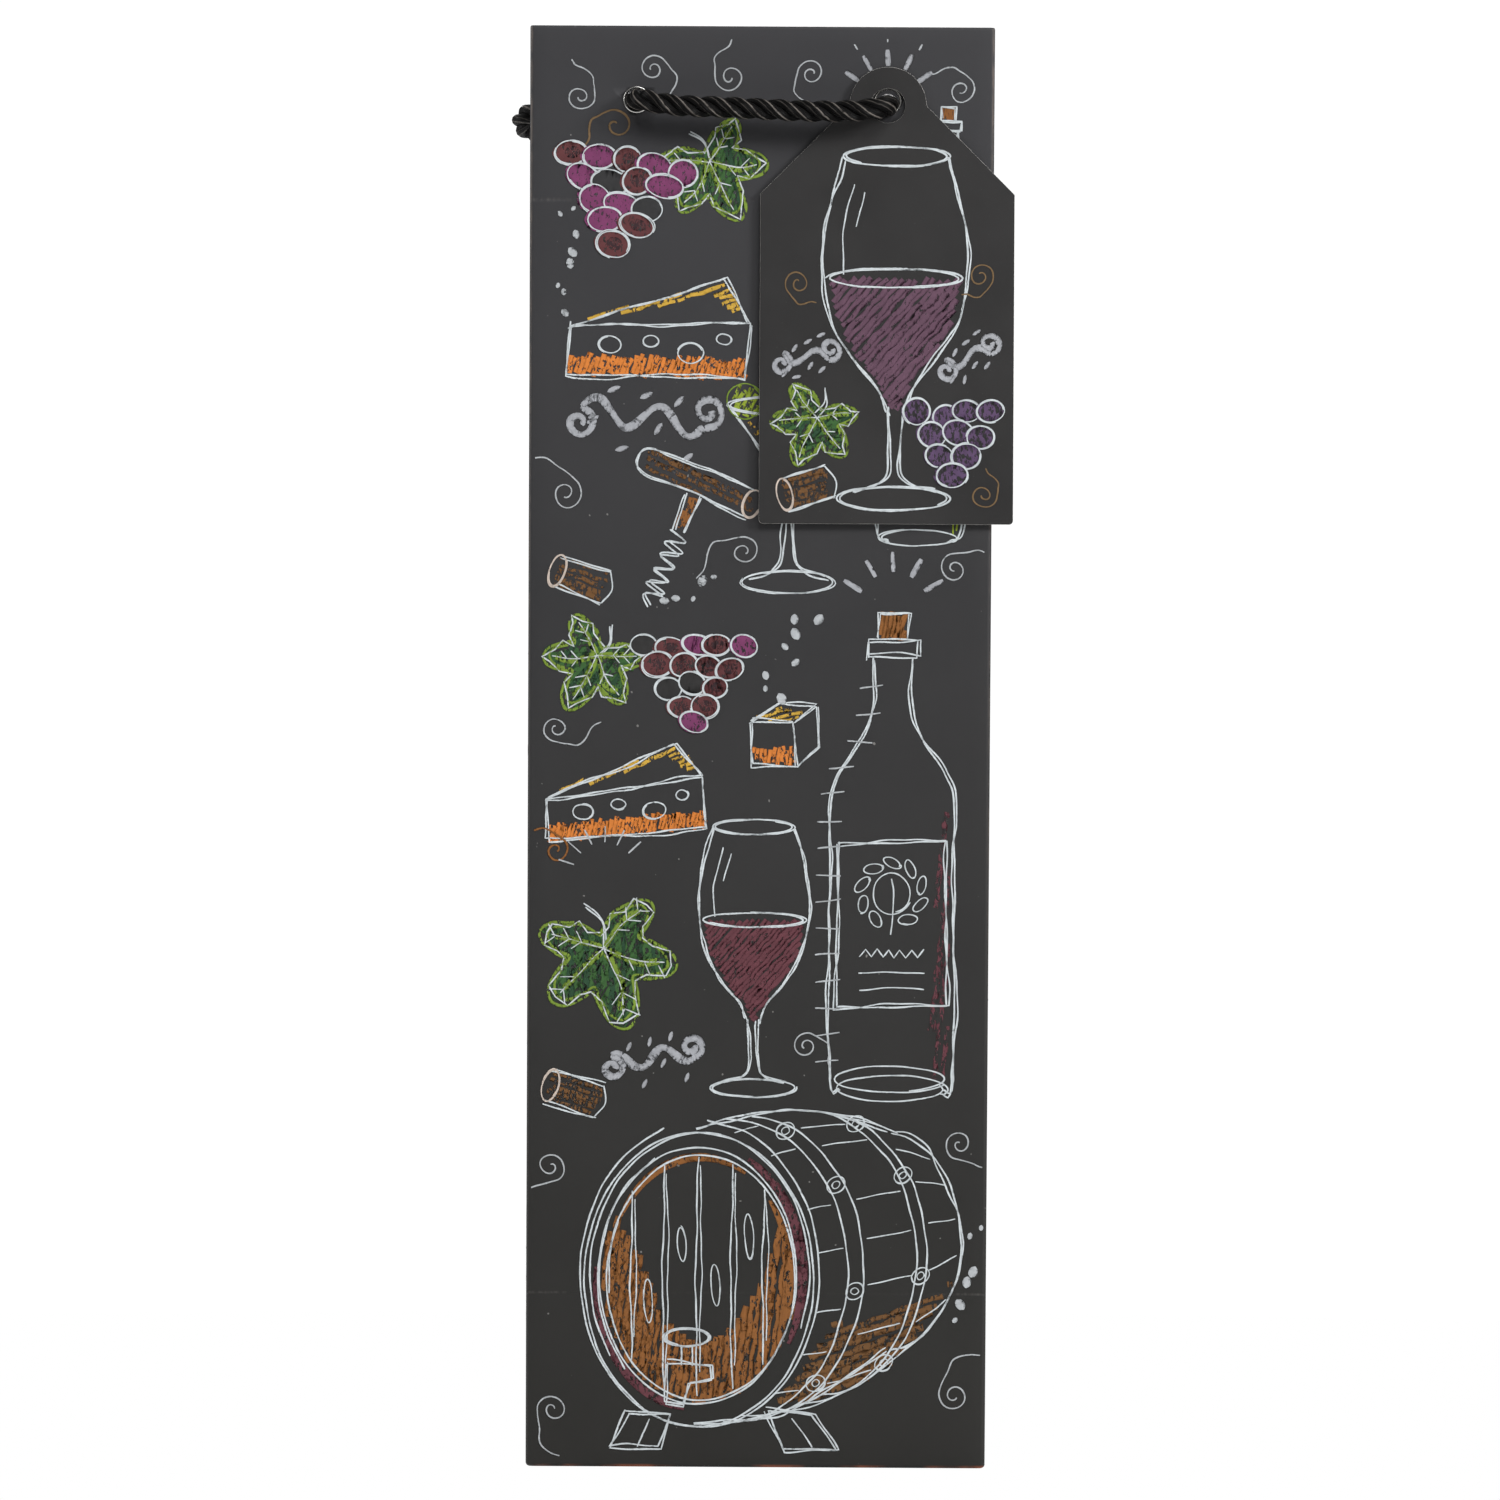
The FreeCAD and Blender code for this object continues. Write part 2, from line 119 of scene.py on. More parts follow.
STRANDS = 3
STRAND_RADIUS = 1.36 * MM
LAY_RADIUS = 1.36 * MM
LAY_LENGTH = 16.5 * MM
KNOT_STRAND = 1.05 * MM
KNOT_LAY = 1.0 * MM
KNOT_LAY_LENGTH = 13 * MM
KNOT_STEP = 0.5 * MM
ROPE_STEP = 0.55 * MM


# ---------------------------------------------------------------- node trees written as plain expressions


class Wire:
    """An output socket that can be added, multiplied and so on; each operator adds a Math node."""

    def __init__(self, tree, socket):
        self.tree, self.socket = tree, socket

    def _math(self, operation, *terms):
        made = self.tree.add("ShaderNodeMath", {"operation": operation}, dict(enumerate(terms)))
        return made["Value"]

    def __add__(self, other):
        return self._math("ADD", self, other)

    def __sub__(self, other):
        return self._math("SUBTRACT", self, other)

    def __rsub__(self, other):
        return self._math("SUBTRACT", other, self)

    def __mul__(self, other):
        return self._math("MULTIPLY", self, other)

    def __truediv__(self, other):
        return self._math("DIVIDE", self, other)

    def __pow__(self, other):
        return self._math("POWER", self, other)

    def __gt__(self, other):
        return self._math("GREATER_THAN", self, other)

    __radd__ = __add__
    __rmul__ = __mul__

    def size(self):
        return self._math("ABSOLUTE", self)

    def sine(self):
        return self._math("SINE", self)

    def larger(self, other):
        return self._math("MAXIMUM", self, other)

    def smaller(self, other):
        return self._math("MINIMUM", self, other)

    def angle_over(self, other):
        return self._math("ARCTAN2", self, other)

    def rise(self, start, end, low=0.0, high=1.0):
        """Low before start, high after end, and smooth between them."""
        return self.tree.add(
            "ShaderNodeMapRange",
            {"interpolation_type": "SMOOTHSTEP"},
            {"Value": self, "From Min": start, "From Max": end, "To Min": low, "To Max": high},
        )["Result"]


class Made:
    """A node just added: its outputs by name."""

    def __init__(self, tree, node):
        self.tree, self.node = tree, node

    def __getitem__(self, output):
        return Wire(self.tree, self.node.outputs[output])


class Tree:
    """A node tree, and the one way this script adds nodes to it."""

    def __init__(self, nodes, links):
        self.nodes, self.links = nodes, links

    def add(self, kind, settings=None, sockets=None):
        node = self.nodes.new(kind)
        for name, value in (settings or {}).items():
            if name == "stops":
                self._stops(node.color_ramp, value)
            else:
                setattr(node, name, value)
        for key, value in (sockets or {}).items():
            if isinstance(value, Wire):
                self.links.new(value.socket, node.inputs[key])
            else:
                node.inputs[key].default_value = value
        return Made(self, node)

    @staticmethod
    def _stops(ramp, stops):
        while len(ramp.elements) < len(stops):
            ramp.elements.new(0.5)
        for element, (place, colour) in zip(ramp.elements, stops):
            element.position, element.color = place, colour

    def split(self, vector):
        parts = self.add("ShaderNodeSeparateXYZ", None, {0: vector})
        return parts["X"], parts["Y"], parts["Z"]

    def tint(self, share, first, second):
        """From the first colour to the second as share goes from 0 to 1."""
        mix = self.add("ShaderNodeMix", {"data_type": "RGBA"}, {0: share, 6: first, 7: second})
        return Wire(self, mix.node.outputs[2])

    def noise(self, place, scale, detail=2.0, roughness=0.5):
        sockets = {"Vector": place, "Scale": scale, "Detail": detail, "Roughness": roughness}
        return self.add("ShaderNodeTexNoise", None, sockets)["Fac"]

    def stretched(self, place, scale, turn=(0.0, 0.0, 0.0)):
        return self.add("ShaderNodeMapping", None, {"Vector": place, "Scale": scale, "Rotation": turn})["Vector"]

    def bump(self, height, distance, strength=1.0, below=None):
        sockets = {"Height": height, "Distance": distance, "Strength": strength}
        if below is not None:
            sockets["Normal"] = below
        return self.add("ShaderNodeBump", None, sockets)["Normal"]


class Finish(Tree):
    """A material: a node tree that ends in one Principled shader."""

    def __init__(self, name):
        self.material = bpy.data.materials.new(name)
        self.material.use_nodes = True
        made = self.material.node_tree
        made.nodes.clear()
        super().__init__(made.nodes, made.links)

    def place(self):
        return self.add("ShaderNodeTexCoord")["Object"]

    def close(self, sockets):
        shader = self.add("ShaderNodeBsdfPrincipled", None, sockets)["BSDF"]
        self.add("ShaderNodeOutputMaterial", None, {"Surface": shader})
        return self.material


def tone(red, green, blue):
    """A printed colour given in the usual 0-255 scale, as the shader wants it."""

    def linear(value):
        value /= 255
        return value / 12.92 if value <= 0.04045 else ((value + 0.055) / 1.055) ** 2.4

    return (linear(red), linear(green), linear(blue), 1.0)


# ---------------------------------------------------------------- finishes


def crease_height(x, y, z):
    """How far the paper is pushed in along the lines it was folded flat on, from 0 to 1, and which face it's on."""
    line = 0.5 * MM
    on_gusset = x.size().rise(HALF_WIDTH - 6 * MM, HALF_WIDTH - 5 * MM)
    on_panel = y.size().rise(HALF_DEPTH - 3 * MM, HALF_DEPTH - 2 * MM)
    near_side = x.size().rise(HALF_WIDTH - 16 * MM, HALF_WIDTH - 4 * MM, 0.12, 1.0)
    flat_fold = (1 - (z - FLAT_FOLD_UP).size().rise(0.0, line)) * near_side
    middle = (1 - y.size().rise(0.0, line)) * z.rise(HALF_DEPTH, HALF_DEPTH + line)
    slant = 1 - (y.size() + z - HALF_DEPTH).size().rise(0.0, line)
    gusset = middle.larger(slant).larger(flat_fold * 0.6) * on_gusset
    dent = 1 - (x + HALF_WIDTH).rise(2 * MM, 11 * MM)
    hem_line = (1 - (z - HEM_FOOT).size().rise(0.0, 0.8 * MM)) * (dent * 0.8 + 0.35)
    return gusset.larger(flat_fold.larger(hem_line) * on_panel * 0.6)


def fold_wear_and_highlight(x, y, z, rough, cloud):
    """Where the ink has rubbed off, with a painted highlight on the folds: broken lines along the folds and the top
    edge, then patches along the foot.
    """
    edge_x = x.size().rise(HALF_WIDTH - 0.7 * MM, HALF_WIDTH - 0.15 * MM)
    edge_y = y.size().rise(HALF_DEPTH - 0.7 * MM, HALF_DEPTH - 0.15 * MM)
    corner = edge_x * edge_y
    top = z.rise(BAG_HEIGHT - 0.5 * MM, BAG_HEIGHT - 0.1 * MM)
    foot = 1 - z.rise(0.2 * MM, 0.9 * MM)
    return (corner * rough.rise(0.35, 0.7)).larger(top * rough.rise(0.5, 0.8) * 0.6), foot * cloud.rise(0.48, 0.56)


def make_printed_paper():
    """Matt-coated paper printed black all over: a fine tooth, faint mottling, creases and rubbed folds with a painted
    highlight on them, and painted light that makes it lighter towards the top and darker towards the foot.
    """
    finish = Finish("printed_paper")
    place = finish.place()
    x, y, z = finish.split(place)
    tooth = finish.noise(place, 3200.0, 2.0)
    cloud = finish.noise(place, 22.0, 4.0, 0.6)
    scuff_and_sheen_noise = finish.noise(finish.stretched(place, (1.0, 1.0, 0.25)), 900.0, 3.0)
    speck = finish.noise(place, 650.0, 1.0).rise(0.80, 0.83)
    ink = finish.tint(cloud.rise(0.3, 0.7), tone(33, 32, 31), tone(39, 38, 37))
    # painted light: lighter and cooler towards the top, darker and warmer towards the foot, as if lit from above
    painted_light_falloff = finish.tint(z.rise(0.0, BAG_HEIGHT), tone(26, 25, 21), tone(57, 57, 61))
    ink = finish.tint(0.55, ink, painted_light_falloff)
    crease = crease_height(x, y, z)
    wear_and_highlight, foot = fold_wear_and_highlight(x, y, z, scuff_and_sheen_noise, cloud)
    # lighter along the creases: ink rubbed where the paper was folded, and a painted highlight on the crease
    ink = finish.tint(crease * scuff_and_sheen_noise.rise(0.35, 0.75) * 0.35, ink, tone(120, 116, 112))
    # broken pale lines along the folds and the top edge: rubbed ink and a painted highlight where the paper turns
    ink = finish.tint(wear_and_highlight * 0.3, ink, tone(150, 132, 118))
    ink = finish.tint(foot * 0.8, ink, tone(150, 84, 56))
    ink = finish.tint(speck * 0.5, ink, tone(150, 148, 145))
    normal = finish.bump(tooth, 0.012 * MM, 0.6)
    normal = finish.bump(cloud, 0.25 * MM, 0.35, normal)
    normal = finish.bump(1 - crease, 0.12 * MM, 0.8, normal)
    return finish.close(
        {
            "Base Color": ink,
            "Roughness": cloud.rise(0.2, 0.8, 0.5, 0.62) + tooth * 0.05,
            "Specular IOR Level": 0.3,
            "Normal": normal,
        }
    )


def make_unprinted_paper():
    """The paper's white, uncoated side, seen inside the bag and on its cut edges."""
    finish = Finish("unprinted_paper")
    place = finish.place()
    fibre = finish.noise(finish.stretched(place, (1.0, 1.0, 3.0)), 1400.0, 4.0, 0.65)
    cloud = finish.noise(place, 45.0, 3.0)
    colour = finish.tint(cloud.rise(0.3, 0.7), tone(222, 219, 212), tone(233, 231, 225))
    colour = finish.tint(fibre.rise(0.55, 0.8) * 0.25, colour, tone(196, 190, 180))
    return finish.close(
        {
            "Base Color": colour,
            "Roughness": fibre.rise(0.2, 0.8, 0.78, 0.92),
            "Specular IOR Level": 0.3,
            "Normal": finish.bump(fibre, 0.02 * MM, 0.7),
        }
    )


def make_grey_board():
    """Recycled grey board: matted fibres with darker and lighter flecks."""
    finish = Finish("grey_board")
    place = finish.place()
    fibre = finish.noise(finish.stretched(place, (1.0, 2.6, 1.0), (0.0, 0.0, 0.6)), 1100.0, 5.0, 0.7)
    fleck = finish.noise(place, 750.0, 2.0)
    colour = finish.tint(fibre.rise(0.25, 0.75), tone(146, 140, 131), tone(182, 176, 166))
    colour = finish.tint(fleck.rise(0.66, 0.72) * 0.6, colour, tone(92, 86, 80))
    colour = finish.tint((1 - fleck.rise(0.26, 0.32)) * 0.5, colour, tone(222, 217, 208))
    return finish.close(
        {
            "Base Color": colour,
            "Roughness": fibre.rise(0.2, 0.8, 0.8, 0.95),
            "Specular IOR Level": 0.25,
            "Normal": finish.bump(fibre, 0.04 * MM, 0.8),
        }
    )


def make_eyelet_metal():
    """Nickel-plated steel, drawn and rolled, with fine turning marks."""
    finish = Finish("eyelet_metal")
    place = finish.place()
    marks = finish.noise(finish.stretched(place, (1.0, 6.0, 1.0)), 1500.0, 2.0)
    cloud = finish.noise(place, 260.0, 2.0)
    return finish.close(
        {
            "Base Color": finish.tint(cloud.rise(0.3, 0.7), tone(196, 194, 190), tone(222, 221, 218)),
            "Metallic": 1.0,
            "Roughness": marks.rise(0.3, 0.7, 0.16, 0.3),
            "Normal": finish.bump(marks, 0.006 * MM, 0.5),
        }
    )


def make_satin_rope():
    """Black satin yarn laid in three strands: fine yarns along each strand, and a painted highlight along each strand's
    crest.
    """
    finish = Finish("satin_rope")
    yarn = finish.add("ShaderNodeAttribute", {"attribute_name": "yarn"})["Vector"]
    out, side, run = finish.split(yarn)
    angle = side.angle_over(out)
    wobble = finish.noise(finish.place(), 700.0, 2.0)
    fine = (angle * 21.0 + run * 1500.0 + wobble * 2.5).sine()
    band = (angle * 7.0 + run * 500.0 + wobble * 1.5).sine()
    # painted highlight: a pale band where each strand's crest would catch the light, and a fainter second band beside
    # it
    crest_highlight = 1 - (angle + 0.32 + (wobble - 0.5) * 0.35).size().rise(0.05, 0.2)
    second = (1 - (angle - 0.62 + (wobble - 0.5) * 0.4).size().rise(0.03, 0.14)) * 0.32
    painted_highlight = (crest_highlight.larger(second) * wobble.rise(0.2, 0.55)).smaller(1.0)
    colour = finish.tint(fine.rise(-1.0, 1.0), tone(4, 4, 4), tone(11, 10, 10))
    # the painted highlight mixed into the yarn colour
    colour = finish.tint(painted_highlight * 0.66, colour, tone(124, 118, 112))
    normal = finish.bump(band, 0.10 * MM, 0.6)
    normal = finish.bump(fine, 0.05 * MM, 0.7, normal)
    return finish.close(
        {
            "Base Color": colour,
            "Roughness": fine.rise(-1.0, 1.0, 0.34, 0.5),
            "Specular IOR Level": 0.08,
            "Sheen Weight": 0.01,
            "Sheen Roughness": 0.4,
            "Normal": normal,
        }
    )


def make_tag_stock():
    """The tag's printed face: heavier card with the same matt black ink."""
    finish = Finish("tag_card")
    place = finish.place()
    x, y, z = finish.split(place)
    tooth = finish.noise(place, 2600.0, 2.0)
    cloud = finish.noise(place, 30.0, 3.0, 0.6)
    ink = finish.tint(cloud.rise(0.3, 0.7), tone(35, 34, 34), tone(40, 39, 39))
    ink = finish.tint(tooth.rise(0.72, 0.82) * 0.3, ink, tone(110, 108, 106))
    normal = finish.bump(tooth, 0.012 * MM, 0.6)
    normal = finish.bump(cloud, 0.2 * MM, 0.3, normal)
    return finish.close(
        {
            "Base Color": ink,
            "Roughness": cloud.rise(0.2, 0.8, 0.48, 0.6),
            "Specular IOR Level": 0.3,
            "Normal": normal,
        }
    )


def make_chalk():
    """Chalk and marker as printed: the stroke's own colour, solid for lines and broken up where it is rubbed on."""
    finish = Finish("chalk_print")
    drawn = finish.add("ShaderNodeAttribute", {"attribute_name": "ink"})
    place = finish.place()
    crumb = finish.noise(finish.stretched(place, (1.0, 1.0, 0.55), (0.0, 0.5, 0.0)), 1300.0, 3.0, 0.65)
    cloud = finish.noise(place, 380.0, 2.0)
    shade = finish.tint(cloud.rise(0.3, 0.75), (0.82, 0.82, 0.82, 1.0), (1.0, 1.0, 1.0, 1.0))
    colour = finish.add(
        "ShaderNodeMix", {"data_type": "RGBA", "blend_type": "MULTIPLY"}, {0: 1.0, 6: drawn["Color"], 7: shade}
    )
    colour = Wire(finish, colour.node.outputs[2])
    gap = drawn["Alpha"] * 0.62
    return finish.close(
        {
            "Base Color": colour,
            "Roughness": crumb.rise(0.2, 0.8, 0.62, 0.8),
            "Specular IOR Level": 0.3,
            "Alpha": (crumb - gap + 0.02).rise(0.0, 0.03),
            "Normal": finish.bump(crumb, 0.015 * MM, 0.5),
        }
    )


def make_pale_floor():
    """A sheet the camera sees as plain white, and the light falls on as white paper."""
    finish = Finish("pale_floor")
    cloud = finish.noise(finish.place(), 3.0, 2.0)
    colour = finish.tint(cloud, tone(226, 226, 226), tone(232, 232, 232))
    paper = finish.add("ShaderNodeBsdfPrincipled", None, {"Base Color": colour, "Roughness": 0.9})["BSDF"]
    glow = finish.add("ShaderNodeEmission", None, {"Color": (1.0, 1.0, 1.0, 1.0), "Strength": 1.0})["Emission"]
    direct = finish.add("ShaderNodeLightPath")["Is Camera Ray"]
    both = finish.add("ShaderNodeMixShader", None, {0: direct, 1: paper, 2: glow})["Shader"]
    finish.add("ShaderNodeOutputMaterial", None, {"Surface": both})
    return finish.material


PRINTED = make_printed_paper()
WHITE_SIDE = make_unprinted_paper()
BOARD = make_grey_board()
METAL = make_eyelet_metal()
SATIN = make_satin_rope()
TAG_STOCK = make_tag_stock()
CHALK = make_chalk()


# ---------------------------------------------------------------- shared mesh helpers


def add_object(name, mesh, *materials):
    for material in materials:
        mesh.materials.append(material)
    made = bpy.data.objects.new(name, mesh)
    bpy.context.scene.collection.objects.link(made)
    return made


def mesh_from(points, faces):
    mesh = bpy.data.meshes.new("made")
    mesh.from_pydata([tuple(p) for p in points], [], [tuple(f) for f in faces])
    mesh.update()
    return mesh


def baked(piece, name):
    """The piece's evaluated shape as a plain mesh object, its modifiers gone."""
    settled = bpy.context.evaluated_depsgraph_get()
    mesh = bpy.data.meshes.new_from_object(
        piece.evaluated_get(settled), preserve_all_data_layers=True, depsgraph=settled
    )
    bpy.data.objects.remove(piece)
    made = bpy.data.objects.new(name, mesh)
    bpy.context.scene.collection.objects.link(made)
    return made


def run_tree(piece, tree, name, **values):
    """Runs a geometry tree on a piece with its inputs by name, and bakes the result."""
    modifier = piece.modifiers.new("made", "NODES")
    modifier.node_group = tree
    for item in tree.interface.items_tree:
        if item.in_out == "INPUT" and item.name in values:
            modifier[item.identifier] = values[item.name]
    return baked(piece, name)


def new_tree(name, inputs):
    tree = bpy.data.node_groups.new(name, "GeometryNodeTree")
    tree.interface.new_socket("Geometry", in_out="INPUT", socket_type="NodeSocketGeometry")
    for label, kind, default in inputs:
        socket = tree.interface.new_socket(label, in_out="INPUT", socket_type=kind)
        if default is not None:
            socket.default_value = default
    tree.interface.new_socket("Geometry", in_out="OUTPUT", socket_type="NodeSocketGeometry")
    build = Tree(tree.nodes, tree.links)
    return tree, build, build.add("NodeGroupInput")


def end_tree(build, shape, material):
    """The last steps of every tree: real geometry, its material, out."""
    real = build.add("GeometryNodeRealizeInstances", None, {0: shape})["Geometry"]
    dressed = build.add("GeometryNodeSetMaterial", None, {"Geometry": real, "Material": material})
    build.add("NodeGroupOutput", None, {0: dressed["Geometry"]})


def vector_math(build, operation, *terms, scale=None):
    sockets = dict(enumerate(terms))
    if scale is not None:
        sockets["Scale"] = scale
    made = build.add("ShaderNodeVectorMath", {"operation": operation}, sockets)
    return made["Value" if operation == "DOT_PRODUCT" else "Vector"]


def drop_attributes(piece, keep):
    for name in [a.name for a in piece.data.attributes]:
        attribute = piece.data.attributes[name]
        if not attribute.is_required and not attribute.is_internal and name not in keep:
            if name not in ("material_index", "sharp_face"):
                piece.data.attributes.remove(attribute)


# ---------------------------------------------------------------- the paper bag


def section(half_x, half_y, fold):
    """Once round the bag at one height, anticlockwise from above: flat faces joined by small rounded folds."""
    across = np.linspace(-1, 1, 31)
    along = np.linspace(-1, 1, 25)
    bend = np.radians(np.linspace(0, 90, 6))[1:-1]
    x_in, y_in = half_x - fold, half_y - fold
    points = [(t * x_in, -half_y) for t in across]
    points += [(x_in + fold * math.sin(a), -y_in - fold * math.cos(a)) for a in bend]
    points += [(half_x, t * y_in) for t in along]
    points += [(x_in + fold * math.cos(a), y_in + fold * math.sin(a)) for a in bend]
    points += [(-t * x_in, half_y) for t in across]
    points += [(-x_in - fold * math.sin(a), y_in + fold * math.cos(a)) for a in bend]
    points += [(-half_x, -t * y_in) for t in along]
    points += [(-x_in - fold * math.cos(a), -y_in - fold * math.sin(a)) for a in bend]
    return np.array(points)


def sleeve_rows():
    """The sheet's path up the outside, over the top edge and down the hem: (height, side step in, front step in)."""
    curl = FOLD_RADIUS
    rows = [(PAPER / 2, curl + 1.2 * MM, curl + 1.2 * MM), (PAPER / 2, curl + 0.4 * MM, curl + 0.4 * MM)]
    for a in np.radians(np.linspace(0, 90, 6)):
        step = curl * (1 - math.sin(a))
        rows.append((PAPER / 2 + curl * (1 - math.cos(a)), step, step))
    near_folds = [FLAT_FOLD_UP + d * MM for d in (-1.5, 0.0, 1.5)] + [HEM_FOOT + d * MM for d in (-1.2, -0.2, 0.6)]
    even = np.arange(5 * MM, BAG_HEIGHT - 3 * MM, 5.5 * MM)
    even = [h for h in even if min(abs(h - n) for n in near_folds) > 2 * MM]
    rows += [(h, 0.0, 0.0) for h in sorted(near_folds + even)]
    roll = HEM_STEP_FRONT / 2
    crown = BAG_HEIGHT - PAPER / 2 - roll
    for a in np.radians(np.linspace(0, 180, 11)):
        share = (1 - math.cos(a)) / 2
        rows.append((crown + roll * math.sin(a), HEM_STEP_SIDE * share, HEM_STEP_FRONT * share))
    for h in np.linspace(crown - 2 * MM, HEM_FOOT + PAPER, 9):
        rows.append((h, HEM_STEP_SIDE, HEM_STEP_FRONT))
    return rows


def settle(points):
    """The paper's own give: flat faces bow in a little, gussets tuck in along their middle fold."""
    x, y, z = points[:, 0].copy(), points[:, 1].copy(), points[:, 2]
    share = np.clip(z / BAG_HEIGHT, 0, 1)
    belly = np.clip((z - 4 * MM) / (60 * MM), 0, 1) * np.clip((HEM_FOOT - z) / (70 * MM), 0, 1)
    belly = belly * belly * (3 - 2 * belly)
    ripple = 0.12 * MM * np.sin(z * 41 + x * 30) * np.sin(x * 55 + 1.3) * belly
    front = np.clip((np.abs(y) - HALF_DEPTH + 2.5 * MM) / (0.9 * MM), 0, 1)
    side = np.clip((np.abs(x) - HALF_WIDTH + 2.5 * MM) / (0.9 * MM), 0, 1)
    bow = PANEL_BOW * belly * np.cos(np.clip(x / HALF_WIDTH, -1, 1) * math.pi / 2) + ripple
    y -= np.sign(y) * bow * front
    above = np.clip((z - HALF_DEPTH) / (90 * MM), 0, 1)
    clear = np.clip((z - BOARD_RAISED - 10 * MM) / (80 * MM), 0, 1)
    clear = clear * clear * (3 - 2 * clear)
    tuck = (GUSSET_GIVE * above + GUSSET_TUCK * clear * (1 - 0.55 * share**3)) * (1 - np.abs(y) / HALF_DEPTH)
    x -= np.sign(x) * tuck * side
    lean = MOUTH_SPREAD * share - FOOT_DRAW * (1 - share)
    x += np.sign(x) * lean * np.clip(np.abs(x) / HALF_WIDTH, 0, 1)
    return np.stack([x, y, z], 1)


def sheet_faces(rows, count, closed=True):
    faces = []
    for r in range(rows - 1):
        for c in range(count if closed else count - 1):
            d = (c + 1) % count
            faces.append((r * count + c, r * count + d, (r + 1) * count + d, (r + 1) * count + c))
    return faces


def thick_sheet(grid, thickness, closed=True):
    """A sheet of paper from its middle surface: printed side first, white side and cut edges second."""
    rows, count, _ = grid.shape
    points = grid.reshape(-1, 3)
    faces = sheet_faces(rows, count, closed)
    middle = mesh_from(points, faces)
    normals = np.array([v.normal for v in middle.vertices])
    bpy.data.meshes.remove(middle)
    both = np.concatenate([points + normals * thickness / 2, points - normals * thickness / 2])
    lift = len(points)
    white = [tuple(i + lift for i in reversed(f)) for f in faces]
    edges = []
    for c in range(count if closed else count - 1):
        d, last = (c + 1) % count, (rows - 1) * count
        edges.append((c, c + lift, d + lift, d))
        edges.append((last + c, last + d, last + d + lift, last + c + lift))
    if not closed:
        for r in range(rows - 1):
            a, b = r * count, (r + 1) * count
            edges.append((a, b, b + lift, a + lift))
            edges.append((a + count - 1, a + count - 1 + lift, b + count - 1 + lift, b + count - 1))
    mesh = mesh_from(both, faces + white + edges)
    mesh.polygons.foreach_set("material_index", [0] * len(faces) + [1] * (len(white) + len(edges)))
    mesh.polygons.foreach_set("use_smooth", [True] * (len(faces) + len(white)) + [False] * len(edges))
    return mesh


def punch_cutter():
    """Four short rods where the eyelets go through the panels and hems."""
    build = bmesh.new()
    for side in (-1, 1):
        for face in (-1, 1):
            rod = bmesh.ops.create_cone(
                build, cap_ends=True, segments=32, radius1=3.0 * MM, radius2=3.0 * MM, depth=6 * MM
            )["verts"]
            bmesh.ops.rotate(build, verts=rod, cent=(0, 0, 0), matrix=turn_x(90))
            bmesh.ops.translate(build, verts=rod, vec=(side * EYELET_ACROSS, face * HALF_DEPTH, EYELET_UP))
    mesh = bpy.data.meshes.new("punch")
    build.to_mesh(mesh)
    build.free()
    return add_object("punch", mesh)


def turn_x(degrees):

    return Matrix.Rotation(math.radians(degrees), 3, "X")


def make_sleeve():
    rows = sleeve_rows()
    grid = []
    for height, side_in, front_in in rows:
        ring = section(HALF_WIDTH - PAPER / 2 - side_in, HALF_DEPTH - PAPER / 2 - front_in, FOLD_RADIUS)
        grid.append(np.column_stack([ring, np.full(len(ring), height)]))
    grid = np.array(grid)
    shape = grid.shape
    grid = settle(grid.reshape(-1, 3)).reshape(shape)
    sleeve = add_object("plain_sleeve", thick_sheet(grid, PAPER), PRINTED, WHITE_SIDE)
    cutter = punch_cutter()
    cutter.data.materials.append(WHITE_SIDE)
    punching = sleeve.modifiers.new("punching", "BOOLEAN")
    punching.object, punching.operation, punching.solver = cutter, "DIFFERENCE", "EXACT"
    sleeve = baked(sleeve, "paper_sleeve")
    bpy.data.objects.remove(cutter)
    return sleeve


def flap(start, end, half_start, half_end, level, face):
    """One bottom flap, from its fold to its free edge, as a sheet that rises to its level in the lap."""
    steps = [0.0, 0.02, 0.05, 0.09] + list(np.linspace(0.15, 1.0, 12))
    grid = []
    for t in steps:
        rise = PAPER / 2 + (level - PAPER / 2) * min(1.0, t / 0.09) ** 0.5
        half = half_start + (half_end - half_start) * t
        along = start + (end - start) * t
        row = [(s * half, along) if face == "y" else (along, s * half) for s in np.linspace(-1, 1, 15)]
        grid.append([(x, y, rise) for x, y in row])
    return np.array(grid)


def make_bottom_flaps():
    """The block bottom: side flaps tucked in first, then the front flap, then the back flap glued over it."""
    back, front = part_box("back_bottom_flap"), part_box("front_bottom_flap")
    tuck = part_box("right_tuck_flap")
    x_half = HALF_WIDTH - FOOT_DRAW - FOLD_RADIUS - 1.3 * MM
    y_fold = HALF_DEPTH - FOLD_RADIUS - 1.3 * MM
    laps = [
        flap(y_fold, back[0].y, x_half, x_half - 1 * MM, (back[0].z + back[1].z) / 2, "y"),
        flap(-y_fold, front[1].y, x_half, x_half - 1 * MM, (front[0].z + front[1].z) / 2, "y"),
        flap(x_half, tuck[0].x, y_fold, y_fold - 30 * MM, (tuck[0].z + tuck[1].z) / 2, "x"),
        flap(-x_half, -tuck[0].x, y_fold, y_fold - 30 * MM, (tuck[0].z + tuck[1].z) / 2, "x"),
    ]
    joined = bmesh.new()
    for lap in laps:
        mesh = thick_sheet(lap, PAPER * 0.96, closed=False)
        if mesh.polygons[0].normal.z > 0:
            lap = lap[:, ::-1]
            bpy.data.meshes.remove(mesh)
            mesh = thick_sheet(lap, PAPER * 0.96, closed=False)
        joined.from_mesh(mesh)
        bpy.data.meshes.remove(mesh)
    mesh = bpy.data.meshes.new("bottom_flaps")
    joined.to_mesh(mesh)
    joined.free()
    return add_object("bottom_flaps", mesh, PRINTED, WHITE_SIDE)


